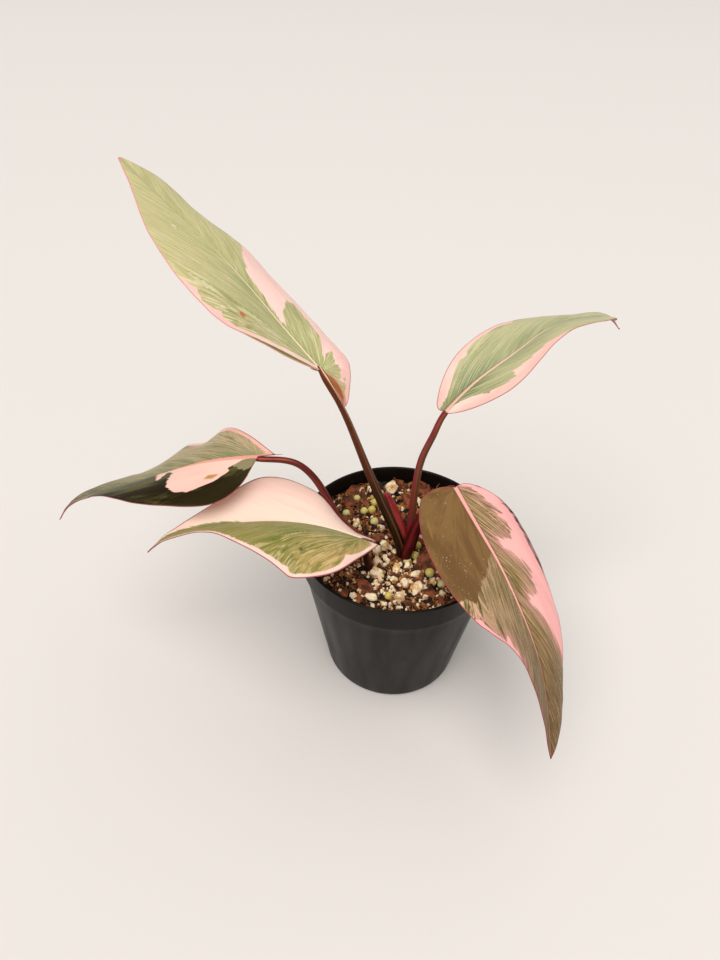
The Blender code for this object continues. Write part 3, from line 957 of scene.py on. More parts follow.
    def build(self) -> Object:
        """Build the blade: top, underside with its rib, and a rounded edge between them.

        Returns:
            The blade as a piece.
        """
        grid = self.grid()
        loop = grid.loop
        plain = self.surface(grid.y, grid.x)
        normal = unit(np.cross(np.gradient(plain, axis=1), np.gradient(plain, axis=0)))
        raised = self.relief(grid)[..., None]
        rib = RIDGE * (1 - grid.along) ** 0.8 * np.exp(-(grid.x / RIDGE_HALF_WIDTH) ** 2)
        rib = rib * (0.1 + 0.9 * smooth(grid.along, self.lobe_at, self.lobe_at + 0.05))
        edge = self.rim_distance(grid)
        thick = (BLADE * (1 - EDGE_THINNING + EDGE_THINNING * smooth(edge, 0.0, EDGE_RUN)) + rib)[..., None]
        top = (plain + normal * raised).reshape(-1, 3)
        low = (plain + normal * (raised - thick)).reshape(-1, 3)
        middle = (top[loop] + low[loop]) / 2
        run = np.roll(middle, -1, axis=0) - np.roll(middle, 1, axis=0)
        outward = unit(np.cross(run, normal.reshape(-1, 3)[loop]))
        middle = middle + outward * EDGE_ROUNDING * BLADE
        rows, wide = grid.along.shape
        count = grid.along.size
        number = np.arange(count).reshape(rows, wide)
        faces = []
        for r in range(rows - 1):
            for c in range(wide - 1):
                a, b = number[r, c:c + 2]
                d, e = number[r + 1, c:c + 2]
                faces.append((a, b, e, d))
                faces.append((a + count, d + count, e + count, b + count))
        for i, start in enumerate(loop):
            j = (i + 1) % len(loop)
            edge_i = 2 * count + i
            edge_j = 2 * count + j
            faces.append((start, edge_i, edge_j, loop[j]))
            faces.append((edge_i, start + count, loop[j] + count, edge_j))
        mesh = mesh_of(self.node, np.concatenate([top, low, middle]), np.array(faces).tolist())
        self.mark_zones(mesh, grid, edge)
        piece = add_piece(f"{self.node}_blade", mesh, self.skin.material())
        settle(piece, self.slot, self.node)
        return piece

    def mark_zones(self, mesh: Mesh, grid: BladeGrid, edge: np.ndarray) -> None:
        """Write what the skin's material reads: vein places, zone depths and edges.

        Args:
            mesh: The blade's mesh: its top, its underside and the ring between them.
            grid: The blade's grid.
            edge: Each place's distance to the edge.
        """
        count = grid.along.size
        depths = self.zone_depths(grid)
        vein = self.vein_number(grid.y, grid.x) + np.where(grid.across > 0, HALF_SHIFT, 0.0)
        place = np.stack([vein, np.abs(grid.x), np.abs(grid.across)], -1).reshape(-1, 3)
        edge = np.stack([edge, grid.along], -1).reshape(-1, 2)
        order = np.concatenate([np.arange(count), np.arange(count), grid.loop])
        under = np.repeat([0.0, 1.0, 0.5], [count, count, len(grid.loop)])
        mark(mesh, "vein_place", place[order])
        mark(mesh, "zones", depths[order][:, :Tone.SCAR.value])
        mark(mesh, "edges", np.column_stack([edge[order], under]))
        mark(mesh, "scar", depths[order][:, Tone.SCAR.value])


@dataclass(frozen=True)
class StalkSkin:
    """Leaf stalk skin: smooth, waxy and streaked lengthwise, flushed in patches.

    The two edges of the groove on its upper side show as brighter lines, partly the lips'
    own colour and partly painted highlight. The colour turns to `top` between the shares of
    the length in `top_at`, and the left side may have a `flank` colour of its own.
    """

    name: str
    body: str
    flush: str
    edge: str
    groove: str
    flushed: float = 0.5
    edge_strength: float = 0.35
    roughness: float = 0.33
    flank: str = ""
    edge_at: float = 0.85
    top: str = ""
    top_at: tuple = (0.5, 0.9)

    def material(self) -> Material:
        """Make the skin's material, which reads the stalk's own place attribute.

        Returns:
            The material.
        """
        skin = Recipe(self.name)
        place = skin.read("stalk_place")
        turn, share = skin.split(place)[1:]
        grain = skin.stretched(place, (0.12, 1.7, 0.0))
        streak = skin.noise(grain, 1.6, 5.0, dimensions="2D")
        patch = skin.noise(grain, 0.5, 2.0, dimensions="2D")
        around = skin.number("ABSOLUTE", turn)
        off_edge = skin.number("ABSOLUTE", skin.number("SUBTRACT", around, self.edge_at))
        in_groove = skin.ramp(around, GROOVE_EDGE - 0.3, GROOVE_EDGE - 0.6)
        layers = [
            (skin.ramp(patch, 0.62 - 0.4 * self.flushed, 0.8 - 0.4 * self.flushed), self.flush),
            (skin.ramp(share, *self.top_at, 0.9), self.top or self.body),
            (skin.ramp(streak, 0.42, 0.7, 0.6), self.flush)]
        if self.flank:
            layers.append((skin.ramp(skin.number("SINE", turn), 0.3, -0.5, 0.85), self.flank))
        layers += [
            # The groove's edge lines: partly the lips' own colour and partly painted highlight
            (skin.ramp(off_edge, 0.28, 0.06, self.edge_strength), self.edge),
            (skin.number("MULTIPLY", in_groove, skin.ramp(share, 0.7, 0.84)), self.groove)]
        gloss = skin.ramp(streak, 0.0, 1.0, self.roughness + 0.12, self.roughness - 0.08, "LINEAR")
        return skin.finish({
            "Base Color": skin.cover(self.body, *layers), "Roughness": gloss,
            "Normal": skin.bump(streak, 0.45, 0.1), "Specular IOR Level": 0.14,
            "Specular Tint": (1.0, 0.78, 0.6, 1.0), "Subsurface Weight": 0.08, "Subsurface Scale": 1.0,
            "Subsurface Radius": (0.001, 0.0004, 0.0003)})


STALK_ROWS = 110
STALK_SIDES = 44

# The groove on the upper side and the lips beside it, as angles from the upper side
GROOVE_EDGE = 0.85
GROOVE_HALF_WIDTH = 0.42
LIP_HALF_WIDTH = 0.2

# A stalk's two ends: a route that starts above CROWN_LEVEL stands on the crown
CROWN_LEVEL = 60.0
MIX_LEVEL = 64.5
BURIED = 3.0
TUCKED_RADIUS = 0.55
END_ROUNDING = 0.8
FLARE_RUN = 3.2
SHEATH_AT = 4.0
SHEATH_RUN = 7.0

# The new leaf's roll: where its free edge starts, how it winds and how high its step is
ROLL_START = 0.35
ROLL_TWIST = 0.25
ROLL_STEP = 0.26
ROLL_SWELL = 0.22


@dataclass
class Stalk:
    """A leaf stalk: a tapering sweep, grooved on its upper side and broad at its foot.

    `groove` is its depth at the foot and at the blade, `flare` and `sheath` widen the
    foot, and `tuck` is how far along and under the blade's midrib the stalk ends.
    """

    node: str
    slot: str
    skin: StalkSkin
    route: tuple
    radii: tuple
    leaf: LeafBlade | None = None
    groove: tuple = (0.1, 0.42)
    flare: float = 0.25
    sheath: float = 0.0
    tuck: tuple = (5.0, 0.9)

    def full_route(self) -> tuple:
        """Sink the foot of a stalk on the crown a little deeper, and run on under the blade.

        Returns:
            The whole route and its radii.
        """
        route = list(self.route)
        radii = list(self.radii)
        if self.route[0][2] > CROWN_LEVEL:
            route.insert(0, (route[0][0], route[0][1], route[0][2] - BURIED))
            radii.insert(0, radii[0])
        if self.leaf is not None:
            along, under = self.tuck
            point, _, facing, _ = self.leaf.frame_at(np.array([along]))
            route.append(tuple(point[0] - under * facing[0]))
            radii.append(TUCKED_RADIUS)
        return tuple(route), radii

    def section(self, turn: np.ndarray, share: np.ndarray) -> np.ndarray:
        """Shape the stalk's cross-section.

        Args:
            turn: Angles from the upper side.
            share: Shares of the length.

        Returns:
            Radii, as shares of the stalk's radius.
        """
        depth = self.groove[0] + (self.groove[1] - self.groove[0]) * smooth(share, 0.55, 0.9)
        fade = 1 - smooth(share, 0.97, 1.0)
        dip = np.exp(-(turn / GROOVE_HALF_WIDTH) ** 2)
        lip = np.exp(-((np.abs(turn) - GROOVE_EDGE) / LIP_HALF_WIDTH) ** 2)
        return 1 - depth * fade * (dip - 0.3 * lip)

    def build(self) -> Object:
        """Build the stalk's closed tube.

        Returns:
            The stalk as a piece.
        """
        route, radii = self.full_route()
        line = natural_curve(route, STALK_ROWS)
        length = run_along(line)
        stops = run_along(np.array(route, dtype=float))
        radius = np.interp(length / length[-1] * stops[-1], stops, radii)
        share = length / length[-1]
        ends = np.clip(np.minimum(length, length[-1] - length) / END_ROUNDING, 0.0, 1.0)
        radius = radius * np.sqrt(ends * (2 - ends) + 0.01)
        heading = unit(np.gradient(line, axis=0))
        lean = np.array([line[-1][0] - line[0][0], line[-1][1] - line[0][1], 0.0])
        upper = np.array([0.0, 0.0, 0.55]) - unit(lean)
        upper = np.broadcast_to(upper, heading.shape)
        if self.leaf is not None:
            facing = self.leaf.frame_at(np.array([0.0]))[2][0]
            weight = smooth(share, 0.2, 1.0)[:, None]
            upper = unit(upper) * (1 - weight) + facing * weight
        upper = unit(upper - np.sum(upper * heading, -1, keepdims=True) * heading)
        side = np.cross(heading, upper)
        above = np.maximum(line[:, 2] - MIX_LEVEL, 0.0)
        foot = np.exp(-(above / FLARE_RUN) ** 2)
        wide = 1 + self.flare * foot + self.sheath * np.exp(-((above - SHEATH_AT) / SHEATH_RUN) ** 2)
        turn = (np.arange(STALK_SIDES) + 0.5) / STALK_SIDES * 2 * math.pi - math.pi
        turn_grid, share_grid = np.meshgrid(turn, share)
        reach = self.section(turn_grid, share_grid) * radius[:, None]
        rings = (line[:, None] + upper[:, None] * (reach * np.cos(turn_grid))[..., None]
                 + side[:, None] * (reach * np.sin(turn_grid) * wide[:, None])[..., None])
        points = np.concatenate([rings.reshape(-1, 3), line[:1], line[-1:]])
        mesh = mesh_of(self.node, points, tube_faces(STALK_ROWS, STALK_SIDES))
        place = np.stack([np.broadcast_to(length[:, None], turn_grid.shape), turn_grid, share_grid], -1)
        place = np.concatenate([place.reshape(-1, 3), [[0.0, 0.0, 0.0], [length[-1], 0.0, 1.0]]])
        mark(mesh, "stalk_place", place)
        piece = add_piece(f"{self.node}_skin", mesh, self.skin.material())
        settle(piece, self.slot, self.node)
        return piece


def tube_faces(rows: int, sides: int) -> list:
    """List the faces of a tube of rings, closed by a fan at each end.

    Args:
        rows: How many rings there are. The two end points follow them.
        sides: How many points each ring has, counter-clockwise seen from the far end.

    Returns:
        The faces, pointing outwards.
    """
    faces = []
    foot = rows * sides
    head = foot + 1
    last = (rows - 1) * sides
    for i in range(sides):
        j = (i + 1) % sides
        faces.append((foot, i, j))
        faces.append((head, last + j, last + i))
        for row in range(rows - 1):
            low = row * sides
            faces.append((low + i, low + sides + i, low + sides + j, low + j))
    return faces


@dataclass
class NewLeaf(Stalk):
    """The new leaf: a blade still rolled round itself, which shows as a spear with a seam."""

    def section(self, turn: np.ndarray, share: np.ndarray) -> np.ndarray:
        """Shape the roll's cross-section: a spiral whose step is the free edge.

        Args:
            turn: Angles from the upper side.
            share: Shares of the length.

        Returns:
            Radii, as shares of the roll's radius.
        """
        wound = ((turn + math.pi) / (2 * math.pi) + ROLL_START + ROLL_TWIST * share) % 1.0
        swell = 1.0 + ROLL_SWELL * np.exp(-((share - 0.55) / 0.25) ** 2)
        return swell * (0.86 + ROLL_STEP * wound)


@dataclass(frozen=True)
class PotPlastic:
    """Thin polypropylene, injection moulded in black: satin, with dust, faint flow streaks and a painted warm
    reflection.
    """

    # The black is warmed brown as a painted reflection of warm surroundings; the plastic itself is plain
    # black
    black: str = "#0c0807"
    dusty: str = "#46372d"
    roughness: float = 0.38

    def material(self) -> Material:
        """Make the plastic, patterned in the pot's own place.

        Returns:
            The material.
        """
        plastic = Recipe("moulded_black_polypropylene")
        place = plastic.solid_place()
        tall = plastic.stretched(place, (1.0, 1.0, 0.06))
        flow = plastic.noise(tall, 160.0, 4.0)
        dust_mask = plastic.ramp(plastic.noise(place, 60.0, 6.0, 0.7), 0.45, 0.8, 0.5)
        streak_mask = plastic.ramp(plastic.noise(tall, 320.0, 5.0, 0.65), 0.5, 0.75)
        speck_mask = plastic.ramp(plastic.noise(place, 900.0, 2.0), 0.7, 0.78, 0.35)
        return plastic.finish({
            "Base Color": plastic.cover(
                self.black, (plastic.number("MULTIPLY", streak_mask, dust_mask), self.dusty),
                (speck_mask, self.dusty)),
            "Roughness": plastic.ramp(flow, 0.3, 0.7, self.roughness + 0.12, self.roughness - 0.06, "LINEAR"),
            "Normal": plastic.bump(flow, 0.3, 0.15), "Specular IOR Level": 0.17,
            # Warm tint of the shine: a painted reflection of warm surroundings
            "Specular Tint": (1.0, 0.85, 0.7, 1.0)})


@dataclass
class Pot:
    """The nursery pot: a thin turned shell with a collar band, a rolled lip and drain holes.

    `lip` is half the rolled lip's height, `bulge` how far the rounded corner of the
    underside stands out under the wall, and `centre_radius` that of the flat middle of
    the floor, inside the ring of holes.
    """

    height: float = 68.0
    rim_radius: float = 38.0
    band_height: float = 11.1
    band_low_radius: float = 37.0
    band_step: float = 0.9
    base_radius: float = 26.7
    base_corner: float = 1.6
    wall: float = 1.1
    floor: float = 1.4
    lip: float = 0.5
    lip_inset: float = 0.5
    bulge: float = 0.3
    sides: int = 192
    holes: int = 6
    hole_radius: float = 3.0
    hole_ring: float = 18.0
    centre_radius: float = 13.0
    plastic: PotPlastic = field(default_factory=PotPlastic)

    @property
    def band_foot(self) -> float:
        """Give the height at which the collar band begins."""
        return self.height - self.band_height

    @property
    def wall_top_radius(self) -> float:
        """Give the outer radius of the wall just under the collar band."""
        return self.band_low_radius - self.band_step

    @property
    def mouth_radius(self) -> float:
        """Give the inner radius under the lip."""
        return self.rim_radius - self.wall - self.lip_inset

    def inner_radius(self, height: float) -> float:
        """Give the radius of the pot's inside at a height below the collar band."""
        flare = (self.wall_top_radius - self.base_radius) * height / self.band_foot
        return self.base_radius + flare - self.wall

    def room_at(self, heights: np.ndarray) -> np.ndarray:
        """Give the radius that is free for the mix in the collar band.

        Args:
            heights: Heights in millimetres.

        Returns:
            The free radius at each height.
        """
        stops = (self.band_foot - self.band_step, self.band_foot + self.band_step, self.height - 3 * self.lip)
        radii = (self.inner_radius(self.band_foot), self.band_low_radius - self.wall, self.mouth_radius)
        return np.interp(heights, stops, radii) - 0.1

    def profile(self) -> list:
        """Draw the turned outline, from the underside's centre to the floor's.

        Returns:
            Places as (radius, height).
        """
        foot = self.band_foot
        low = self.base_radius + self.bulge
        lip_half_width = 1.15 * self.lip
        corner = [(self.base_radius - self.base_corner * (1 - math.sin(a)) + self.bulge * a / math.pi * 2,
                   self.base_corner * (1 - math.cos(a))) for a in np.linspace(0.0, math.pi / 2, 6)]
        wall = [(low + (self.wall_top_radius - low) * u,
                 self.base_corner + (foot - self.band_step - self.base_corner) * u)
                for u in np.linspace(0.08, 1.0, 14)]
        step = [(self.wall_top_radius + self.band_step * (1 - math.cos(a)) / 2,
                 foot - self.band_step + self.band_step * (a / math.pi))
                for a in np.linspace(0.5, math.pi, 6)]
        band = [(self.band_low_radius + (self.rim_radius - self.lip - self.band_low_radius) * u,
                 foot + (self.height - 2.2 * self.lip - foot) * u) for u in np.linspace(0.12, 1.0, 6)]
        rolled = [(self.rim_radius - lip_half_width + lip_half_width * math.cos(a),
                   self.height - self.lip + self.lip * math.sin(a))
                  for a in np.linspace(-0.9, math.pi - 0.2, 11)]
        inside = [(self.mouth_radius, self.height - 3 * self.lip),
                  (self.band_low_radius - self.wall, foot + self.band_step),
                  (self.inner_radius(foot), foot - self.band_step),
                  (self.inner_radius(0.5 * foot), 0.5 * foot),
                  (self.inner_radius(self.floor + 1.0), self.floor + 1.0),
                  (self.inner_radius(self.floor) - 1.0, self.floor)]
        return [(0.0, 0.0), (self.centre_radius, 0.0), *corner, *wall, *step, *band, *rolled, *inside,
                (self.centre_radius, self.floor), (0.0, self.floor)]

    def build(self) -> Object:
        """Turn the shell, cut its drain holes and dress it.

        Returns:
            The pot as a piece.
        """
        shell = add_piece("pot_shell", turned_mesh("pot_shell", self.profile(), self.sides))
        mesh = run_tree(shell, drain_hole_tree(), {
            "Holes": self.holes, "Hole radius": self.hole_radius * MM, "Ring radius": self.hole_ring * MM,
            "Depth": 6 * self.floor * MM, "First turn": math.pi / self.holes,
            "Finish": self.plastic.material()})
        mesh.shade_smooth()
        mesh.set_sharp_from_angle(angle=math.radians(38))
        settle(shell, "pot_plastic", "pot")
        return shell


def turned_mesh(name: str, profile: list, sides: int, centre: tuple = (0.0, 0.0),
                wobble: Callable[[float, float], float] | None = None) -> Mesh:
    """Turn an open outline whose ends lie on the axis.

    Args:
        name: The mesh's name.
        profile: The outline as (radius, height), from the lower end out and up.
        sides: How many sides the turned shape has.
        centre: Where the axis stands.
        wobble: An optional change of radius at a turn and a height.

    Returns:
        The closed mesh.
    """
    rings = profile[1:-1]
    points = []
    for radius, height in rings:
        for i in range(sides):
            turn = 2 * math.pi * i / sides
            reach = radius + (wobble(turn, height) if wobble else 0.0)
            points.append((centre[0] + reach * math.cos(turn), centre[1] + reach * math.sin(turn), height))
    points += [(*centre, profile[0][1]), (*centre, profile[-1][1])]
    faces = [tuple(reversed(face)) for face in tube_faces(len(rings), sides)]
    return mesh_of(name, np.array(points), faces)


def new_tree(name: str, inputs: dict) -> tuple:
    """Start a Geometry Nodes tree with named inputs.

    Args:
        name: The tree's name.
        inputs: The kind of value for each input's name, such as "Float".

    Returns:
        The tree, its input and output nodes, and the identifier of each input.
    """
    tree = bpy.data.node_groups.new(name, "GeometryNodeTree")
    tree.is_modifier = True
    tree.interface.new_socket("Geometry", in_out="INPUT", socket_type="NodeSocketGeometry")
    keys = {}
    for label, kind in inputs.items():
        socket = tree.interface.new_socket(label, in_out="INPUT", socket_type=f"NodeSocket{kind}")
        keys[label] = socket.identifier
    tree.interface.new_socket("Geometry", in_out="OUTPUT", socket_type="NodeSocketGeometry")
    return tree, tree.nodes.new("NodeGroupInput"), tree.nodes.new("NodeGroupOutput"), keys


def drain_hole_tree() -> tuple:
    """Build the tree that cuts a ring of round holes through the pot's floor.

    Returns:
        The tree and the identifier of each input.
    """
    tree, given, result, keys = new_tree("drain_holes", {
        "Holes": "Int", "Hole radius": "Float", "Ring radius": "Float", "Depth": "Float",
        "First turn": "Float", "Finish": "Material"})
    ring = add_node(tree, "GeometryNodeMeshCircle", None, {
        "Vertices": given.outputs["Holes"], "Radius": given.outputs["Ring radius"]})
    turn = add_node(tree, "ShaderNodeCombineXYZ", None, {"Z": given.outputs["First turn"]})
    ring = add_node(tree, "GeometryNodeTransform", None, {"Geometry": ring, "Rotation": turn})
    drill = add_node(tree, "GeometryNodeMeshCylinder", None, {
        "Vertices": 40, "Radius": given.outputs["Hole radius"], "Depth": given.outputs["Depth"]})
    drills = add_node(tree, "GeometryNodeInstanceOnPoints", None, {"Points": ring, "Instance": drill})
    drills = add_node(tree, "GeometryNodeRealizeInstances", None, {"Geometry": drills})
    cut = add_node(tree, "GeometryNodeMeshBoolean", {"operation": "DIFFERENCE", "solver": "EXACT"}, {
        "Mesh 1": given.outputs["Geometry"], "Mesh 2": drills})
    done = add_node(tree, "GeometryNodeSetMaterial", None, {
        "Geometry": cut, "Material": given.outputs["Finish"]})
    tree.links.new(done.outputs[0], result.inputs[0])
    return tree, keys


def strewing_tree(strewn: bool) -> tuple:
    """Build the tree that sets copies of a few shapes on the mix.

    Args:
        strewn: True to strew them by a seeded rule over the surface, where its "Room"
            attribute allows, and False to set one on each point, as large as its "size".

    Returns:
        The tree and the identifier of each input.
    """
    tree, given, result, keys = new_tree("strewn" if strewn else "placed", {
        "Shapes": "Collection", "Room": "String", "Density": "Float", "Spacing": "Float",
        "Smallest": "Float", "Largest": "Float", "Lift": "Float", "Tilt": "Float", "Seed": "Int",
        "Finish": "Material"})
    take = given.outputs
    ground = take["Geometry"]
    number = {"data_type": "FLOAT"}
    if strewn:
        room = add_node(tree, "GeometryNodeInputNamedAttribute", number, {"Name": take["Room"]})
        ground = add_node(tree, "GeometryNodeDistributePointsOnFaces", {"distribute_method": "POISSON"}, {
            "Mesh": ground, "Distance Min": take["Spacing"], "Density Max": take["Density"],
            "Density Factor": room, "Seed": take["Seed"]})
        size = add_node(tree, "FunctionNodeRandomValue", number, {
            2: take["Smallest"], 3: take["Largest"], "Seed": take["Seed"]}).outputs[1]
        ground = add_node(tree, "GeometryNodeStoreNamedAttribute", {**number, "domain": "POINT"}, {
            "Geometry": ground, "Name": "size", "Value": size})
    size = add_node(tree, "GeometryNodeInputNamedAttribute", number, {"Name": "size"})
    times = {"operation": "MULTIPLY"}
    raised = add_node(tree, "ShaderNodeMath", times, {0: size, 1: take["Lift"]})
    raised = add_node(tree, "ShaderNodeMath", times, {0: raised, 1: MM})
    offset = add_node(tree, "ShaderNodeCombineXYZ", None, {"Z": raised})
    ground = add_node(tree, "GeometryNodeSetPosition", None, {"Geometry": ground, "Offset": offset})
    lean_back = add_node(tree, "ShaderNodeMath", times, {0: take["Tilt"], 1: -1.0})
    least = add_node(tree, "ShaderNodeCombineXYZ", None, {"X": lean_back, "Y": lean_back})
    most = add_node(tree, "ShaderNodeCombineXYZ", None, {
        "X": take["Tilt"], "Y": take["Tilt"], "Z": 2 * math.pi})
    turn = add_node(tree, "FunctionNodeRandomValue", {"data_type": "FLOAT_VECTOR"}, {
        0: least, 1: most, "Seed": take["Seed"]})
    shapes = add_node(tree, "GeometryNodeCollectionInfo", None, {
        "Collection": take["Shapes"], "Separate Children": True, "Reset Children": True})
    pick = add_node(tree, "FunctionNodeRandomValue", {"data_type": "INT"}, {
        4: 0, 5: 1000, "Seed": take["Seed"]}).outputs[2]
    copies = add_node(tree, "GeometryNodeInstanceOnPoints", None, {
        "Points": ground, "Instance": shapes, "Pick Instance": True, "Instance Index": pick,
        "Rotation": turn, "Scale": size})
    real = add_node(tree, "GeometryNodeRealizeInstances", None, {"Geometry": copies})
    done = add_node(tree, "GeometryNodeSetMaterial", None, {"Geometry": real, "Material": take["Finish"]})
    tree.links.new(done.outputs[0], result.inputs[0])
    return tree, keys


# How finely a lump is crumpled
COARSE_GRIT = 1.3
FINE_GRIT = 4.2


@dataclass(frozen=True)
class LumpShape:
    """How one kind of lump is made: a ball, stretched, squared and crumpled by noise.

    One unit is a millimetre across before it is scaled to its size. `grit` is the share
    of coarse and of fine crumpling, and `squareness` below 1 gives flat sides.
    """

    subdivisions: int
    narrow: tuple = (0.75, 1.0)
    flat: tuple = (0.7, 0.95)
    grit: tuple = (0.25, 0.1)
    squareness: float = 1.0
    smooth_sides: bool = True

    def mesh(self, name: str, seed: int) -> Mesh:
        """Make one variant of the lump.

        Args:
            name: The mesh's name.
            seed: The seed of its random draws.

        Returns:
            The mesh.
        """
        dice = random.Random(seed)
        lump = bmesh.new()
        bmesh.ops.create_icosphere(lump, subdivisions=self.subdivisions, radius=0.5)
        stretch = Vector((1.0, dice.uniform(*self.narrow), dice.uniform(*self.flat)))
        shift = Vector([dice.uniform(-50, 50) for _ in range(3)])
        for corner in lump.verts:
            way = corner.co.normalized()
            squared = Vector([math.copysign(abs(c) ** self.squareness, c) for c in way])
            coarse = noise.noise(way * COARSE_GRIT + shift)
            fine = noise.noise(way * FINE_GRIT + shift)
            reach = 0.5 * (1 + self.grit[0] * coarse * 2 + self.grit[1] * fine * 2)
            corner.co = Vector([a * b for a, b in zip(squared * reach, stretch)])
        bmesh.ops.scale(lump, verts=lump.verts, vec=(MM, MM, MM))
        mesh = bpy.data.meshes.new(name)
        lump.to_mesh(mesh)
        lump.free()
        for face in mesh.polygons:
            face.use_smooth = self.smooth_sides
        return mesh


@dataclass(frozen=True)
class FibreShape:
    """A coir fibre: a thin wavy strand, one unit long, as scaled to its length."""

    thickness: float = 0.02
    sides: int = 5
    rows: int = 10

    def mesh(self, name: str, seed: int) -> Mesh:
        """Make one variant of the strand.

        Args:
            name: The mesh's name.
            seed: The seed of its random draws.

        Returns:
            The mesh.
        """
        dice = random.Random(seed)
        bends = [dice.uniform(-0.22, 0.22) for _ in range(4)]
        bows = [dice.uniform(-0.1, 0.22) for _ in range(4)]
        knots = tuple((i / 3 - 0.5, bends[i], bows[i]) for i in range(4))
        line = natural_curve(knots, self.rows)
        heading = unit(np.gradient(line, axis=0))
        side = unit(np.cross(heading, (0.0, 0.0, 1.0)))
        upper = np.cross(side, heading)
        turn = np.arange(self.sides) / self.sides * 2 * math.pi
        taper = self.thickness * (1 - 0.6 * np.linspace(0.0, 1.0, self.rows))
        ring = (upper[:, None] * np.cos(turn)[:, None] + side[:, None] * -np.sin(turn)[:, None])
        points = line[:, None] + ring * taper[:, None, None]
        points = np.concatenate([points.reshape(-1, 3), line[:1], line[-1:]])
        return mesh_of(name, points, tube_faces(self.rows, self.sides))


@dataclass(frozen=True)
class MixedSolid:
    """A finish of one ingredient of the mix: three tones of grit on a dull surface.

    `second` lies over `base` in patches of about `scale` millimetres, and `third` in
    grains a sixth of that size.
    """

    name: str
    base: str
    second: str
    third: str
    scale: float
    roughness: float
    bump: float
    translucent: float = 0.0
    between: tuple = (0.4, 0.62)

    def material(self) -> Material:
        """Make the finish, patterned in the pot's own place.

        Returns:
            The material.
        """
        made = Recipe(self.name)
        place = made.solid_place()
        patch = made.noise(place, 1 / (self.scale * MM), 3.0, 0.6)
        grit = made.noise(place, 6 / (self.scale * MM), 4.0, 0.7)
        return made.finish({
            "Base Color": made.cover(
                self.base, (made.ramp(patch, *self.between), self.second),
                (made.ramp(grit, 0.5, 0.68, 0.8), self.third)),
            "Roughness": self.roughness, "Normal": made.bump(grit, self.bump, 0.4), "IOR": 1.45,
            "Subsurface Weight": self.translucent, "Subsurface Scale": 1.0,
            "Subsurface Radius": (0.0008, 0.0006, 0.0003)})


# Damp peat and coir dust: near black brown between the lumps, darkened partly as painted shade of the gaps
PEAT = MixedSolid("damp_peat_and_coir_dust", "#110905", "#23130b", "#362013", 5.0, 0.95, 0.8)
# Crumbs of coir pith: warm browns that break up the dark ground
PITH = MixedSolid("coir_pith_crumbs", "#1b0e08", "#5c341d", "#331b0f", 2.2, 0.92, 0.6)
# Coconut husk chips: orange tan, the palest of the browns
HUSK = MixedSolid("coconut_husk_chips", "#87481f", "#c0853f", "#552b12", 2.4, 0.85, 0.5)
# Composted pine bark: flat red-brown chips
BARK = MixedSolid("composted_pine_bark", "#502712", "#914c24", "#2f170b", 3.0, 0.72, 0.6)
# Coconut husk fibre: fine tan and orange-brown strands
FIBRE = MixedSolid("coconut_husk_fibre", "#8a5429", "#b87a42", "#5e3519", 3.0, 0.8, 0.1)
# Expanded perlite: chalky cream-white lumps, whose tan second tone is partly stains and partly painted shade
PERLITE = MixedSolid("expanded_perlite", "#f9e6c2", "#d3a15c", "#fdf0d6", 2.6, 0.85, 0.5, 0.15, (0.45, 0.62))
# Resin-coated fertiliser prills: translucent yellow-green beads with a soft gloss
PRILL = MixedSolid(
    "resin_coated_prills", "#ceba60", "#c6c68a", "#dccd80", 7.0, 0.26, 0.05, 0.35, (0.42, 0.58))


@dataclass(frozen=True)
class Strewing:
    """One ingredient of the mix, strewn by a seeded rule or set at chosen places.

    `lift` is how far a copy's middle stands above the surface, as a share of its size.
    `places` holds (x, y, size) for set copies; without it they are strewn, `density` to
    a square centimetre at the most and `spacing` apart, where the surface's `room` allows.
    """

    name: str
    shape: LumpShape | FibreShape
    finish: MixedSolid
    seed: int
    lift: float = 0.0
    tilt: float = 3.0
    variants: int = 5
    room: str = "room"
    density: float = 10.0
    spacing: float = 0.5
    size: tuple = (1.0, 2.0)
    places: tuple = ()

    def lay(self, ground: Mesh, height: Callable[[float, float], float],
            room_at: Callable[[np.ndarray], np.ndarray]) -> Object:
        """Lay the ingredient on the mix.

        Args:
            ground: The mix's mesh, with its room attributes.
            height: The mix's height at a place, in millimetres.
            room_at: The pot's free radius at heights.

        Returns:
            The ingredient as one piece.
        """
        shapes = bpy.data.collections.new(self.name)
        for i in range(self.variants):
            name = f"{self.name}_{i}"
            shapes.objects.link(bpy.data.objects.new(name, self.shape.mesh(name, self.seed * 100 + i)))
        carrier = ground
        if self.places:
            spots = np.array([(x, y, height(x, y)) for x, y, _ in self.places])
            carrier = mesh_of(f"{self.name}_places", spots, [])
            mark(carrier, "size", np.array([place[2] for place in self.places]))
        piece = add_piece(self.name, carrier)
        mesh = run_tree(piece, strewing_tree(not self.places), {
            "Shapes": shapes, "Room": self.room, "Density": self.density * 1e4, "Spacing": self.spacing * MM,
            "Smallest": self.size[0], "Largest": self.size[1], "Lift": self.lift, "Tilt": self.tilt,
            "Seed": self.seed, "Finish": self.finish.material()})
        keep_inside(mesh, room_at)
        for shape in list(shapes.objects):
            bpy.data.objects.remove(shape)
        settle(piece, "potting_mix")
        return piece


# The ground's crumbs in three sizes, as (height, fineness, shift), and how deep they sit
CRUMBS = ((0.9, 0.32, (0, 0, 0)), (0.7, 0.8, (7, 3, 1)), (0.35, 2.1, (1, 9, 4)))
CRUMBS_SUNK = 0.5


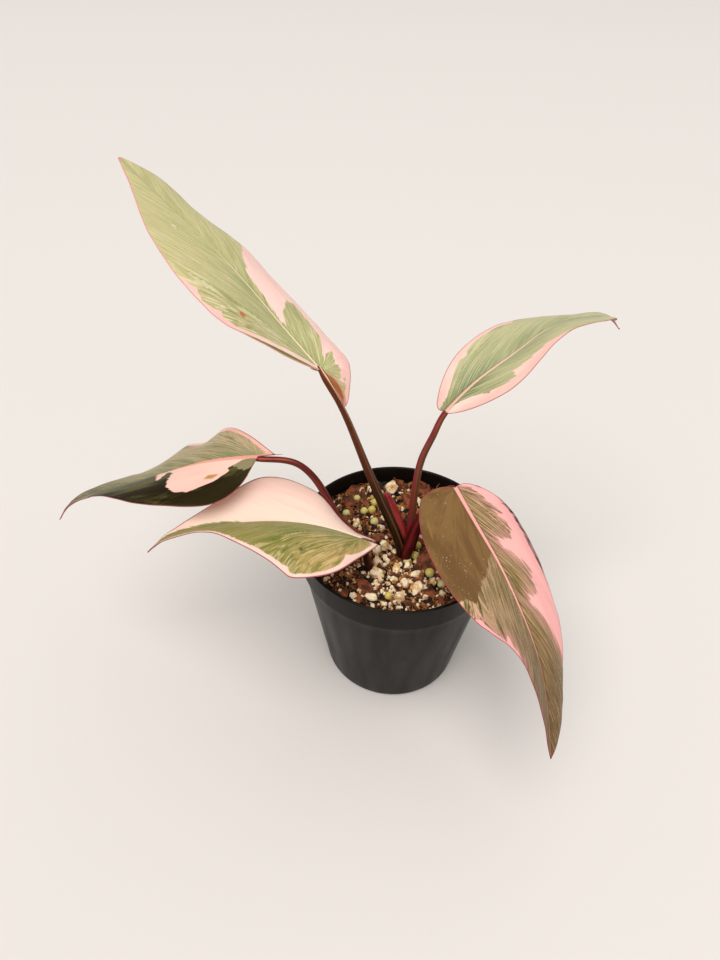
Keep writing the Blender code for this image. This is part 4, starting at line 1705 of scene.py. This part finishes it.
@dataclass
class PottingMix:
    """The potting mix: a plug with a crumbly surface, and the ingredients that lie on it.

    `stems` holds the crown and the stalks that the mix leaves free, as (x, y, radius).
    `pale_at` and `pale_spread` say where most of the fine perlite lies, and
    `pale_elsewhere` is its share in other places. The gaps are to the pot's inside.
    """

    pot: Pot
    edge_height: float = 62.6
    mound: float = 1.3
    front_rise: float = 0.9
    reach: float = 33.0
    wall_gap: float = 0.95
    body_gap: float = 0.2
    floor_gap: float = 0.3
    free_of_stems: float = 0.4
    free_of_wall: float = 0.8
    pale_free_of_wall: float = 1.6
    pale_elsewhere: float = 0.22
    rings: int = 96
    sides: int = 240
    stems: tuple = ((2.2, -6.8, 4.4), (-7.8, -3.2, 1.8), (-10.6, -14.9, 1.6))
    pale_at: tuple = (2.0, -17.0)
    pale_spread: tuple = (13.0, 11.0)

    def height(self, x: float, y: float) -> float:
        """Give the height of the mix's even surface.

        Args:
            x: Millimetres to the right of the pot's axis.
            y: Millimetres behind it.

        Returns:
            The height in millimetres.
        """
        out = min(math.hypot(x, y) / self.reach, 1.0)
        long_wave = 0.35 * math.sin(0.45 * x + 1.0) * math.cos(0.4 * y)
        short_wave = 0.25 * math.sin(0.9 * y - 0.3 * x)
        return (self.edge_height + self.mound * (1 - out ** 2) - self.front_rise * y / self.reach
                + long_wave + short_wave)

    def crumbs(self, x: float, y: float) -> float:
        """Give how far the ground's own crumbs stand above the even surface.

        Args:
            x: Millimetres to the right of the pot's axis.
            y: Millimetres behind it.

        Returns:
            The crumbs' height in millimetres.
        """
        place = Vector((x, y, 0.0))
        raised = [height * noise.noise(place * fineness + Vector(shift))
                  for height, fineness, shift in CRUMBS]
        return sum(raised) - CRUMBS_SUNK

    def build(self) -> list:
        """Build the plug and lay every ingredient.

        Returns:
            The pieces.
        """
        shoulder = self.pot.height - self.pot.band_height - self.pot.band_step
        low = self.pot.floor + self.floor_gap
        edge = self.pot.rim_radius - self.pot.wall - self.wall_gap
        profile = [(0.0, low), (self.pot.inner_radius(low) - 1.5, low),
                   (self.pot.inner_radius(low + 2.0) - self.body_gap, low + 2.0),
                   (self.pot.inner_radius(shoulder) - self.body_gap, shoulder),
                   (edge - 0.3, self.edge_height - 2.0)]
        profile += [(edge * (1 - i / self.rings), self.edge_height) for i in range(self.rings)]
        profile.append((0.0, self.edge_height))
        mesh = turned_mesh("mix_body", profile, self.sides)
        room = []
        pale = []
        for corner in mesh.vertices:
            x, y, z = corner.co / MM
            on_top = z > self.edge_height - 0.1
            if on_top:
                corner.co.z = (self.height(x, y) + self.crumbs(x, y)) * MM
            free = min(math.hypot(x - a, y - b) - radius for a, b, radius in self.stems)
            near_wall = edge - math.hypot(x, y)
            allowed = float(on_top and free > self.free_of_stems and near_wall > self.free_of_wall)
            room.append(allowed)
            off_x = (x - self.pale_at[0]) / self.pale_spread[0]
            off_y = (y - self.pale_at[1]) / self.pale_spread[1]
            front = math.exp(-off_x ** 2 - off_y ** 2)
            share = self.pale_elsewhere + (1 - self.pale_elsewhere) * front
            pale.append(allowed * share * float(near_wall > self.pale_free_of_wall))
        mark(mesh, "room", np.array(room))
        mark(mesh, "pale", np.array(pale))
        # The ground's near-black brown is partly painted shade of the gaps between the lumps
        body = add_piece("mix_body", mesh, PEAT.material())
        settle(body, "potting_mix", "potting_mix")
        return [body] + [kind.lay(mesh, self.height, self.pot.room_at) for kind in INGREDIENTS]


INGREDIENTS = (
    Strewing("pith_crumbs", LumpShape(2, (0.5, 0.9), (0.4, 0.8), (0.35, 0.15), 1.0, False), PITH, 3,
             lift=0.12, density=75.0, spacing=0.5, size=(0.7, 2.0)),
    Strewing("husk_chips", LumpShape(2, (0.35, 0.6), (0.25, 0.45), (0.2, 0.1), 0.8, False), HUSK, 11,
             lift=0.25, tilt=1.2, variants=7, density=11.0, spacing=1.0, size=(0.9, 3.2)),
    Strewing("bark_bits", LumpShape(2, (0.45, 0.8), (0.25, 0.4), (0.16, 0.06), 0.7, False), BARK, 4,
             lift=0.2, tilt=0.9, density=6.0, spacing=1.6, size=(1.8, 4.6)),
    Strewing("coir_fibres", FibreShape(), FIBRE, 5, lift=0.08, tilt=0.5, variants=8, density=10.0,
             spacing=0.5, size=(3.5, 9.0)),
    Strewing("perlite_grit", LumpShape(2, grit=(0.3, 0.1), smooth_sides=False), PERLITE, 6, lift=0.35,
             room="pale", density=55.0, spacing=0.6, size=(0.5, 2.0)),
    Strewing("perlite_lumps", LumpShape(3, (0.5, 0.85), (0.5, 0.8), (0.24, 0.07), 0.85), PERLITE, 7,
             lift=0.28, variants=9, places=(
                 (-2, 29, 6.5), (-16, 8, 3.6), (-6, 5, 3.5), (-5, 11, 3), (-5, -5, 4.5), (-1.5, -7, 2.5),
                 (-8, -8, 5), (-5, -10, 3), (-8, -13, 5), (-8, -18, 5), (-4, -12, 3), (3, -14, 3),
                 (-1, -16, 4.5), (6, -18, 4), (8, 0, 4), (12, -21, 3), (-7, -21, 3), (-16, -28, 3),
                 (2, -22, 4), (0, -29, 4.5), (6, -25, 5), (-11, 29, 3), (-14, 28, 3), (-23, 17, 3),
                 (-8, -23, 2), (9, -28, 3), (-10, -29, 4), (15, -26, 3), (-2, -21, 4), (4, -21, 3),
                 (22, 3, 4.5), (26, -8, 3.5), (19, 17, 5), (-27, -2, 4), (-24, -14, 5), (-21, 3, 3),
                 (14, 8, 3.5), (28, 9, 3), (-29, 9, 3.5), (9, 22, 3), (20, -9, 4), (-17, -9, 4))),
    Strewing("fertiliser_prills", LumpShape(4, (0.97, 1.0), (0.95, 1.0), (0.015, 0.0)), PRILL, 8,
             lift=0.32, variants=4, places=(
                 (-9, 20, 3.2), (-10, 16, 3.2), (-13, 15, 3.1), (-20, 14, 3.2), (-9, 9, 3.3), (7, -4, 3.3),
                 (6, -9, 3.1), (3, -11.5, 3.1), (11, -17, 3.5), (-4, -28, 2.8), (15, -22, 3.0),
                 (-16, 23, 2.8), (23, -3, 3.2), (17, 13, 3.1), (-25, -7, 3.2), (26, 4, 3.0), (-22, 8, 3.0))),
    Strewing("bark_chips", LumpShape(3, (0.6, 0.8), (0.24, 0.36), (0.14, 0.05), 0.62, False), BARK, 9,
             lift=0.1, tilt=0.45, variants=8, places=(
                 (11, 30, 8), (-8, 0.5, 6), (-12, -24, 7), (12, -13, 11), (-14, -28.5, 4), (-1.5, -10.5, 5),
                 (10, -26, 5.5), (7, -21, 5), (3, -30.5, 4), (-19, 21, 6), (5, 22, 6.5), (-17, 28, 7),
                 (1, 33.5, 4.5), (-21, 11, 5), (13, 15, 8.5), (24, 14, 8), (27, -14, 7), (-28, -8, 7),
                 (15, 2, 7), (-24, 1, 6))),
)


@dataclass
class Crown:
    """The crown: the short stem at the mix's surface, uneven above its smooth foot."""

    centre: tuple = (2.2, -6.8)
    top: float = 65.2
    foot: float = 40.0
    radius: float = 4.6
    dome: float = 2.6
    knob_height: float = 0.35
    smooth_foot: float = 6.0

    def build(self, skin: StalkSkin) -> Object:
        """Build the crown with its knobbly domed top.

        Args:
            skin: Its finish.

        Returns:
            The crown as a piece.
        """
        profile = [(0.0, self.foot), (0.55 * self.radius, self.foot),
                   (0.9 * self.radius, self.foot + self.smooth_foot)]
        profile += [(self.radius - 0.15, height) for height in np.linspace(self.foot + 12, self.top - 3.2, 8)]
        profile += [(self.radius * math.cos(a), self.top + 0.2 - self.dome * (1 - math.sin(a)))
                    for a in np.linspace(0.0, 1.45, 14)]
        profile.append((0.0, self.top + 0.2))
        mesh = turned_mesh("crown_skin", profile, 64, self.centre, self.knobs)
        place = np.array([(corner.co.z / MM, math.atan2(corner.co.y, corner.co.x), 0.0)
                          for corner in mesh.vertices])
        mark(mesh, "stalk_place", place)
        piece = add_piece("crown_skin", mesh, skin.material())
        settle(piece, "stem", "crown_stem")
        return piece

    def knobs(self, turn: float, height: float) -> float:
        """Give the bark's unevenness round the crown."""
        way = Vector((math.cos(turn), math.sin(turn), height * 0.35))
        return self.knob_height * noise.noise(way * 1.7) if height > self.foot + self.smooth_foot else 0.0


# Pale olive green, brushed along the veins, with a broad shell-pink sector
GREEN_SKIN_A = LeafSkin(
    "leaf_cuticle_olive_and_pink", inner="#9ca560", outer="#bfb680", streak="#e6dfb8", shade="#848e54",
    pink="#fdd8ce", blush="#f8c2ba", midrib="#ecd8bc", rib_shadow="#8f6e4c", rim="#de8f88", under="#6f7242",
    dark="#9c5c2a", dark_worn="#b88040", grey="#6b7326", scar="#bb7440", streaks=0.72, fineness=0.95,
    feather=1.0, midrib_width=0.42, midrib_until=0.8, fold_line=0.9, rim_width=0.42, tip_tone="#d4cd92",
    tip_tone_at=(0.3, 0.7), tip_tone_share=0.45, tip_from=0.98)
# Soft sage green inside a pale pink margin, with a rosy midrib
GREEN_SKIN_B = LeafSkin(
    "leaf_cuticle_sage_and_pink", inner="#617642", outer="#b2af82", streak="#ddd8b2", shade="#587040",
    pink="#fad6c9", blush="#f0beb4", midrib="#ecc3b2", rib_shadow="#8c7f5c", rim="#b25a58", under="#93805c",
    streaks=0.42, fineness=0.9, feather=0.9, midrib_width=0.54, midrib_until=0.95, rim_width=0.28,
    tip_tone="#cfcca2", tip_tone_at=(0.2, 0.5), tip_tone_share=0.38, tip_from=0.93)
# Dull grey green above; below the fold a near black green, darkest toward the margin partly as painted shade
# of the curled-under edge; one salmon-pink sector across
DARK_SKIN_C = LeafSkin(
    "leaf_cuticle_grey_green_and_pink", inner="#777e56", outer="#b9a681", streak="#cbb99b", shade="#5f6140",
    pink="#fbcdbf", blush="#f4b2a8", midrib="#eba898", rim="#9c4a4e", under="#6f5a42", dark="#1f1402",
    dark_worn="#55522c", grey="#8c8464", scar="#bd8f4e", streaks=0.6, feather=0.9, midrib_width=0.6,
    midrib_until=0.6, sheen=0.16, worn_tipward=0.6, outward_paling=-0.5, highlight=(0.8, 0.85, 0.4),
    tip_tone="#4c4a28", tip_tone_at=(0.45, 0.9), tip_tone_share=0.9, tip_from=0.96, rim_width=0.28)
# One half plain creamy pink, the other fresh green with tan hairs along its veins
PINK_SKIN_D = LeafSkin(
    "leaf_cuticle_half_pink", inner="#6c7f34", outer="#bb9c5a", streak="#d0b98a", shade="#566b2a",
    pink="#ffe0cf", blush="#fcd0c3", midrib="#d9b98f", rim="#8f3c4a", under="#97704f", scar="#5a3018",
    streaks=0.75, fineness=0.95, feather=0.45, crispness=0.3, midrib_width=0.22, midrib_until=0.2,
    rim_width=0.42, tip_tone="#6f7c32", tip_tone_at=(0.14, 0.42), tip_tone_share=0.6, tip_from=0.975)
# Warm bronze with pale specks on a dark lobe, rose pink along one side and at the midrib
DARK_SKIN_E = LeafSkin(
    "leaf_cuticle_bronze_and_pink", inner="#7a6c38", outer="#9c8560", streak="#dab190", shade="#3f3e18",
    pink="#fabdb8", blush="#f5adad", midrib="#f2b2ad", rib_shadow="#7a4636", rim="#a03a50", under="#6b4038",
    dark="#6d5132", dark_worn="#80623d", grey="#23250f", scar="#93783c", streaks=0.9, fineness=0.9,
    feather=1.2, crispness=0.3, halo=0.75, midrib_width=0.68, midrib_until=1.0, specks=0.7, sheen=0.14,
    few_specks=(0.33, 0.65), highlight=(0.9, 0.6, 0.25), tip_tone="#5a4410", tip_tone_at=(0.5, 0.86),
    tip_tone_share=0.92)

REAR_LEFT = LeafBlade(
    "leaf_rear_left", "leaf_green", GREEN_SKIN_A,
    midrib=((-28, 0, 139), (-42, 13.5, 148), (-57, 24.5, 160.5), (-75, 36, 173), (-94, 47, 186)),
    half_width=(26.5, 25.5), lobe=(0.0, 17.3), lobe_inset=(-0.5, 4.6), lobe_at=0.015,
    fullness=(0.6, 1.0), roll=(18, 8, 13), fold_left=(19, 19, -5), fold_right=(22, -1, 4),
    curl=(20, 50), wave=(1.6, 0.04), lobe_lean=(-0.28, 0.52, -0.44), base_bulge=(0.0, 2.0),
    outline=((-0.9, -0.4, 0.5, 1.2, -0.1, -0.1, 0.2, -0.8, -1.1, 0.6),
             (-0.6, 3.7, 0.5, -0.5, -0.6, 0, 1.1, 2.1, 2.5, 0.7)),
    lift=((), (-4.5, -2.7, -1.4, 0.3, -0.1, 2.1, 1.3, 1.0, 1.8, 0)),
    patches=(
        Patch(Tone.PINK, Half.RIGHT, (
            (60, 125), (57, 80), (54, 40), (49, 19), (44, 11), (38, 9), (34, 5), (28, 3), (26, 5), (31, 16),
            (33, 44), (31, 61), (25, 54), (20, 54), (16.5, 57), (13.6, 48), (9.7, 30), (6.1, 23),
            (8.7, 33), (8.3, 52), (6.2, 51), (4.9, 49), (4.9, 57), (4.3, 62), (3.1, 64), (2.7, 71),
            (3.4, 78), (3.2, 82), (2.5, 85), (1.9, 89), (1.6, 96), (1.5, 125))),
        Patch(Tone.PINK, Half.LEFT, (
            (52, 125), (49, 97), (46, 94), (44, 90), (42, 95), (39, 97), (35, 95), (33, 87), (30, 93),
            (25, 90), (21, 84), (17, 73), (13, 62), (10, 42), (6, 16), (3, 6), (3, 44), (6, 62), (10, 76),
            (13, 86), (17, 94), (21, 100), (25, 108), (25, 125))),
        Patch(Tone.GREY, Half.LEFT, (
            (25, 125), (25, 108), (21, 100), (17, 94), (13, 86), (10, 76), (6, 62), (3, 44), (0, 30),
            (0, 125))),
        Patch(Tone.DARK, Half.RIGHT, (
            (0, -5), (2.2, -5), (2.3, 15), (2.7, 37), (2.5, 58), (2.2, 77), (1.9, 89), (1.5, 100),
            (1.2, 125), (0, 125))),
        Patch(Tone.PINK, Half.LEFT, ((73.5, 43), (72, 46), (69.5, 45), (70.5, 42))),
        Patch(Tone.SCAR, Half.LEFT, ((32.8, 59), (32.2, 63), (30.5, 66), (29.2, 65), (29.6, 61), (31.2, 58))),
        Patch(Tone.SCAR, Half.LEFT, ((23.5, 74), (23.2, 77), (22, 78), (22.2, 75))),
    ))

REAR_RIGHT = LeafBlade(
    "leaf_rear_right", "leaf_green", GREEN_SKIN_B,
    midrib=((16, 28, 104), (28, 35, 114), (41, 40, 123), (55, 45, 132), (71, 51, 132), (78, 55, 129),
            (81, 53, 126)),
    half_width=(17.0, 14.5), lobe=(4.0, 2.0), lobe_inset=(0.5, 1.5), lobe_at=0.044,
    fullness=(0.76, 0.92), roll=(39, -14, -12), fold_left=(25, 13, 0), fold_right=(13, 15, 2),
    curl=(19, 30), wave=(1.0, -0.25), base_bulge=(1.0, 0.4), hook_from=0.925,
    outline=((0.1, 0, -0.2, 0.1, 0.9, 0.9, 1.0, 1.5, 2.5, 0),
             (0.2, 0.2, 0.2, 0.4, -0.6, -0.6, 0.3, -0.6, 0, 0)),
    lift=((0, 0, 0, 0.4, 0.7, 0.2, -0.3, 0.3, 0.8, 0), ()),
    patches=(
        Patch(Tone.PINK, Half.LEFT, (
            (0, 40), (4, 50), (10, 41), (14, 49), (18, 64), (22, 78), (26, 74), (26, 84), (32, 92),
            (45, 95), (50, 91), (52, 125), (0, 125))),
        Patch(Tone.PINK, Half.RIGHT, (
            (0, 4), (10, 12), (14, 15), (19, 31), (22, 54), (23, 69), (25, 61), (28, 71), (33, 78),
            (36, 76), (38, 61), (42, 65), (47, 70), (50, 73), (54, 76), (57, 86), (61, 92), (64, 125),
            (0, 125))),
    ))

LEFT = LeafBlade(
    "leaf_left", "leaf_dark", DARK_SKIN_C,
    midrib=((-50, -2, 105), (-65, -1, 102), (-81, 1, 95), (-99, 3, 86), (-116, 5, 78), (-124, 5, 73),
            (-129, 4, 66)),
    half_width=(21.5, 20.5), lobe=(0.0, 10.0), lobe_inset=(1.5, 6.0), lobe_at=0.016,
    fullness=(0.72, 1.4), roll=(-36, 19, 1), fold_left=(-1, 17, 2), fold_right=(3, 15, 3),
    curl=(33, 38), wave=(1.0, 0.2),
    ruffles=((Half.RIGHT, 0.42, 0.055, 1.7, 1.3), (Half.RIGHT, 0.29, 0.05, -2.0, -1.5),
             (Half.RIGHT, 0.17, 0.06, 0.7, 0.8), (Half.RIGHT, 0.58, 0.06, -0.6, -0.6)),
    outline=((-0.1, 0.2, 0.8, -0.4, -0.1, -0.9, -0.8, -1.9, -0.9, 0),
             (-0.5, -0.3, -0.4, -0.3, -0.6, 0.1, 0.1, -1.1, -2.1, 0)),
    lift=((), (-0.1, -0.4, -0.8, 0.2, 0.6, 0.4, 0.6, 0.6, 0.2, 0)),
    patches=(
        Patch(Tone.DARK, Half.LEFT, (
            (4, 50), (9, 34), (13, 20), (15, 0), (64, 0), (70, 40), (72, 125), (-5, 125), (-5, 60))),
        Patch(Tone.GREY, Half.LEFT, (
            (3, 0), (11, 9), (13, 20), (14, 36), (12, 31), (10, 33), (7, 44), (4, 56), (0, 60), (0, 0))),
        Patch(Tone.PINK, Half.LEFT, (
            (4, 0), (7, 4), (10, 8), (13, 16), (15, 22), (15, 32), (18, 46), (19, 51), (21, 56), (24, 65),
            (26, 71), (28, 71), (30, 73), (32, 66), (35, 61), (37, 46), (38, 32), (39, 20), (43, 10),
            (42, 26), (42, 43), (44, 35), (50, 0))),
        Patch(Tone.PINK, Half.RIGHT, (
            (0, 60), (3, 76), (6, 76), (10, 79), (17, 86), (23, 88), (25, 80), (28, 74), (32, 78), (39, 88),
            (42, 125), (0, 125))),
        Patch(Tone.SCAR, Half.LEFT, ((18, 34), (22, 36), (23, 44), (20, 43))),
    ))

FRONT_LEFT = LeafBlade(
    "leaf_front_left", "leaf_pink", PINK_SKIN_D,
    midrib=((-14, -15, 80), (-27, -15, 85), (-40, -15, 87), (-55, -18, 89), (-69, -22, 90),
            (-80, -27, 89), (-85, -28, 84)),
    half_width=(28.0, 18.5), lobe=(7.0, 7.5), lobe_inset=(5.0, 2.0), lobe_at=0.012,
    fullness=(0.7, 1.8), roll=(25, 16, 25), fold_left=(-2, 32, 4), fold_right=(-6, 38, 0),
    curl=(75, 18), wave=(2.5, 0.04),
    outline=((1.2, 0.3, 0.7, 1.1, 0.8, 0.4, -0.2, 1.1, 1.2, 0),
             (0.8, 0.9, 0.5, 0, 0.4, 0.3, 0, -0.5, 0.3, 0)),
    lift=((), (0.6, 1.2, 1.4, 0.3, 0.1, 0, -0.1, 0, 0, 0)),
    patches=(
        Patch(Tone.PINK, Half.RIGHT, (
            (0, -4), (58, -4), (62, 6), (71, 14), (77, 22), (83, 34), (88, 48), (97, 60), (100, 125),
            (0, 125))),
        Patch(Tone.PINK, Half.LEFT, (
            (0, 10), (1, 59), (2, 80), (4, 80), (6, 75), (10, 66), (11, 66), (11, 76), (12, 85), (14, 89),
            (17, 93), (21, 95), (27, 95), (34, 94), (35, 91), (41, 93), (48, 93), (60, 92), (75, 89),
            (88, 84), (100, 78), (100, 125), (0, 125))),
        Patch(Tone.SCAR, Half.LEFT, ((30.8, 62.4), (30.8, 65.6), (29.4, 65.6), (29.4, 62.4))),
    ))

FRONT_RIGHT = LeafBlade(
    "leaf_front_right", "leaf_dark", DARK_SKIN_E,
    midrib=((18, -5, 96), (25, -14, 88), (33, -24, 79), (40, -36, 70), (45, -50, 63), (47, -63, 57),
            (48, -77, 46)),
    half_width=(21.0, 26.0), lobe=(2.0, 7.5), lobe_inset=(2.0, -1.0), lobe_at=0.059,
    fullness=(0.65, 0.91), roll=(21, -24, -29), fold_left=(-1, 17, 9), fold_right=(-3, 19, 11),
    curl=(33, 28), wave=(1.6, 0.44), facing=(0.4, -0.6, 0.7), base_bulge=(0.8, 1.9),
    outline=((-0.2, 0.6, 0.6, 0.6, -0.8, -0.5, 0.4, 1.2, 2.5, 0),
             (-0.2, 0.1, -0.3, 0.1, 0.7, 1.0, 0.9, -0.1, -2.0, 0)),
    patches=(
        Patch(Tone.DARK, Half.RIGHT, (
            (36, -4), (36, 12), (39, 30), (40, 51), (41, 68), (43, 80), (41, 85), (39, 90), (38, 96),
            (37, 125), (0, 125), (0, -4))),
        Patch(Tone.GREY, Half.LEFT, (
            (10, 125), (12, 97), (18, 89), (26, 86), (34, 87), (41, 91), (46, 97), (48, 125))),
        Patch(Tone.SCAR, Half.RIGHT, ((11, 80), (13, 82), (16, 82), (18, 80), (14, 79))),
        Patch(Tone.PINK, Half.RIGHT, (
            (46, 125), (47, 98), (49, 94), (53, 94), (58, 96), (62, 95), (61, 79), (65, 91), (70, 98),
            (74, 125))),
        Patch(Tone.PINK, Half.LEFT, (
            (0, 10), (6, 20), (7, 43), (10, 52), (15, 55), (18, 59), (21, 64), (22, 52), (25, 64),
            (27, 60), (29, 66), (30, 51), (32, 48), (32, 35), (31, 20), (35, 24), (36, 29), (39, 45),
            (42, 58), (43, 60), (46, 54), (48, 60), (51, 51), (52, 34), (54, 29), (55, 32), (58, 50),
            (60, 60), (62, 68), (65, 82), (66, 98), (68, 125), (48, 125), (46, 97), (41, 91), (34, 87),
            (26, 86), (18, 89), (12, 97), (10, 125), (0, 125))),
    ))

LEAVES = (REAR_LEFT, REAR_RIGHT, LEFT, FRONT_LEFT, FRONT_RIGHT)

# Dark olive brown at the foot, darkened partly as painted shade, warmer brown above, with an ochre line along
# the groove that is partly painted highlight
BROWN_STALK = StalkSkin(
    "stalk_brown_green", body="#1f1207", flush="#3a220f", edge="#8a5630", groove="#f2c6a8", flushed=0.25,
    edge_strength=0.45, edge_at=0.7, top="#6a3420", top_at=(0.25, 0.7))
# Russet, with one crimson side
RUSSET_STALK = StalkSkin(
    "stalk_russet", body="#57191c", flush="#5a2a16", edge="#6a2a1c", groove="#8a4438", flushed=0.3,
    flank="#7c1f2c", top="#5c371c", top_at=(0.1, 0.32))
# Dull rose brown
ROSE_STALK = StalkSkin(
    "stalk_rose", body="#57231f", flush="#743029", edge="#93403a", groove="#c0624f", flushed=0.5)
# Dark maroon brown, in the shade of its blade
DARK_STALK = StalkSkin(
    "stalk_dark", body="#2f140e", flush="#46201a", edge="#6c2a26", groove="#7c3d2d", flushed=0.4)
# Deep crimson
CRIMSON_STALK = StalkSkin(
    "stalk_crimson", body="#3a0a0c", flush="#5c1418", edge="#7d2322", groove="#a34a50", flushed=0.5)
# Bright crimson with a fresh gloss, the reddest thing on the plant
SPEAR_SKIN = StalkSkin(
    "new_leaf_crimson", body="#7c1e20", flush="#9e3834", edge="#b8584e", groove="#8c2c2e", flushed=0.5,
    roughness=0.28)
# Dull red-brown bark
CROWN_SKIN = StalkSkin(
    "crown_bark", body="#34110e", flush="#52201a", edge="#43221a", groove="#34110e", flushed=0.4,
    edge_strength=0.2, roughness=0.5)

STALKS = (
    Stalk("petiole_rear_left", "petiole", BROWN_STALK, (
        (0.9, -7.6, 65.9), (0.5, -7.5, 68), (-5.0, -4.6, 82), (-10.0, -2.5, 93.7), (-16.5, -0.2, 111.0),
        (-22.8, -2.3, 129.6), (-26.6, -2.1, 137.3)),
        (1.9, 1.9, 1.8, 1.55, 1.25, 1.0, 1.1), REAR_LEFT, tuck=(2.0, -0.3)),
    Stalk("petiole_rear_right", "petiole", RUSSET_STALK, (
        (4.0, -5.0, 65.9), (4.1, -4.5, 68), (4.4, -0.6, 78.4), (5.3, 5.3, 87.3), (7.5, 12.3, 94.7),
        (11.4, 19.1, 99.5), (15.8, 28.2, 102.6)), (1.5, 1.6, 1.35, 1.3, 1.3, 1.25, 1.15), REAR_RIGHT,
        sheath=0.5),
    Stalk("petiole_left", "petiole", ROSE_STALK, (
        (-8.6, -3.4, 52), (-9.1, -3.3, 61), (-12.6, -2.8, 66.4), (-20.8, 0.8, 71.2), (-25.7, 3.8, 78.0),
        (-30.2, 5.4, 86.8), (-37.0, 4.8, 96.0), (-48.6, -1.3, 103.2)),
        (1.4, 1.5, 1.5, 1.4, 1.35, 1.3, 1.15, 1.0), LEFT, flare=0.1),
    Stalk("petiole_front_left", "petiole", DARK_STALK, (
        (-9.8, -15.0, 52), (-10.2, -14.9, 61), (-11.4, -14.8, 67), (-12.6, -15.0, 73),
        (-13.7, -15.4, 77.2)), (1.5, 1.5, 1.4, 1.2, 1.0), FRONT_LEFT, flare=0.1),
    Stalk("petiole_front_right", "petiole", CRIMSON_STALK, (
        (2.6, -9.5, 65.9), (2.9, -9.4, 68), (4.3, -8.8, 74), (7.2, -8.1, 85.0), (12.5, -5.2, 91.0),
        (17.2, -3.3, 94.0)), (1.9, 2.0, 2.2, 1.7, 1.3, 1.0), FRONT_RIGHT, sheath=0.4),
    NewLeaf("new_leaf_spear", "stem", SPEAR_SKIN, (
        (1.6, -4.2, 65.9), (1.4, -4.0, 68), (-0.3, -2.4, 73.5), (-3.1, -0.4, 81), (-5.5, 0.8, 87)),
        (1.6, 1.9, 2.1, 1.95, 1.3)),
)


@dataclass
class Studio:
    """The stage: a pale floor, soft light from above and the camera at the photo's angle.

    The camera looks along +Y, pitched down and slightly rolled, from `eye`.
    """

    floor_colour: str = "#dddad7"
    floor_reach: float = 4000.0
    eye: tuple = (-15.0, -196.3, 268.9)
    pitch: float = 41.75
    roll: float = 1.52
    lens: float = 28.02
    sensor: float = 36.0

    def build_floor(self) -> None:
        """Lay the floor disc that the pot stands on."""
        mesh = turned_mesh("studio_floor", [(0.0, -2.0), (self.floor_reach, -2.0), (self.floor_reach, 0.0),
                                            (0.0, 0.0)], 96)
        # Matt pale paint, which mirrors nothing and shows the pot's soft shadow
        paint = Recipe("matt_studio_paint")
        tooth = paint.noise(paint.solid_place(), 400.0, 2.0)
        finish = paint.finish({
            "Base Color": linear(self.floor_colour), "Roughness": 0.75,
            "Normal": paint.bump(tooth, 0.05, 0.2)})
        floor = add_piece("studio_floor", mesh, finish)

    def build_light(self) -> None:
        """Light the stage evenly: a broad key light, a weaker fill and a bright room."""
        world = bpy.data.worlds.new("studio_air")
        world.use_nodes = True
        air = world.node_tree.nodes["Background"]
        air.inputs["Color"].default_value = linear("#f3f1f0")
        air.inputs["Strength"].default_value = 0.54
        bpy.context.scene.world = world
        for name, lean, turn, spread, strength, colour in (
                ("key_light", 26.0, -25.0, 50.0, 2.25, "#fffaf4"),
                ("fill_light", 40.0, 130.0, 70.0, 0.45, "#fff6ee")):
            lamp = bpy.data.lights.new(name, "SUN")
            lamp.angle = math.radians(spread)
            lamp.energy = strength
            lamp.color = linear(colour)[:3]
            light = bpy.data.objects.new(name, lamp)
            light.rotation_euler = (math.radians(lean), 0.0, math.radians(turn))
            light.location = (0.0, 0.0, 1.0)
            bpy.context.scene.collection.objects.link(light)

    def build_camera(self) -> None:
        """Set the camera where the photo was taken from."""
        pitch = math.radians(self.pitch)
        roll = math.radians(self.roll)
        ahead = Vector((0.0, math.cos(pitch), -math.sin(pitch)))
        right = Vector((1.0, 0.0, 0.0))
        upward = right.cross(ahead)
        side = right * math.cos(roll) + upward * math.sin(roll)
        head = upward * math.cos(roll) - right * math.sin(roll)
        lens = bpy.data.cameras.new("camera")
        lens.lens = self.lens
        lens.sensor_width = self.sensor
        lens.clip_start = 10 * MM
        lens.clip_end = 20.0
        camera = bpy.data.objects.new("camera", lens)
        turn = Matrix((side, head, -ahead)).transposed()
        camera.matrix_world = Matrix.Translation(Vector(self.eye) * MM) @ turn.to_4x4()
        bpy.context.scene.collection.objects.link(camera)
        bpy.context.scene.camera = camera
        bpy.context.scene.view_settings.view_transform = "Standard"


def main() -> None:
    """Build the stage, the pot, the mix and the plant, in that order."""
    logging.basicConfig(level=logging.INFO, format="%(name)s: %(message)s")
    studio = Studio()
    studio.build_camera()
    studio.build_floor()
    studio.build_light()
    pot = Pot()
    pot.build()
    PottingMix(pot).build()
    Crown().build(CROWN_SKIN)
    for stalk in STALKS:
        stalk.build()
    for leaf in LEAVES:
        leaf.build()


if __name__ == "__main__":
    main()
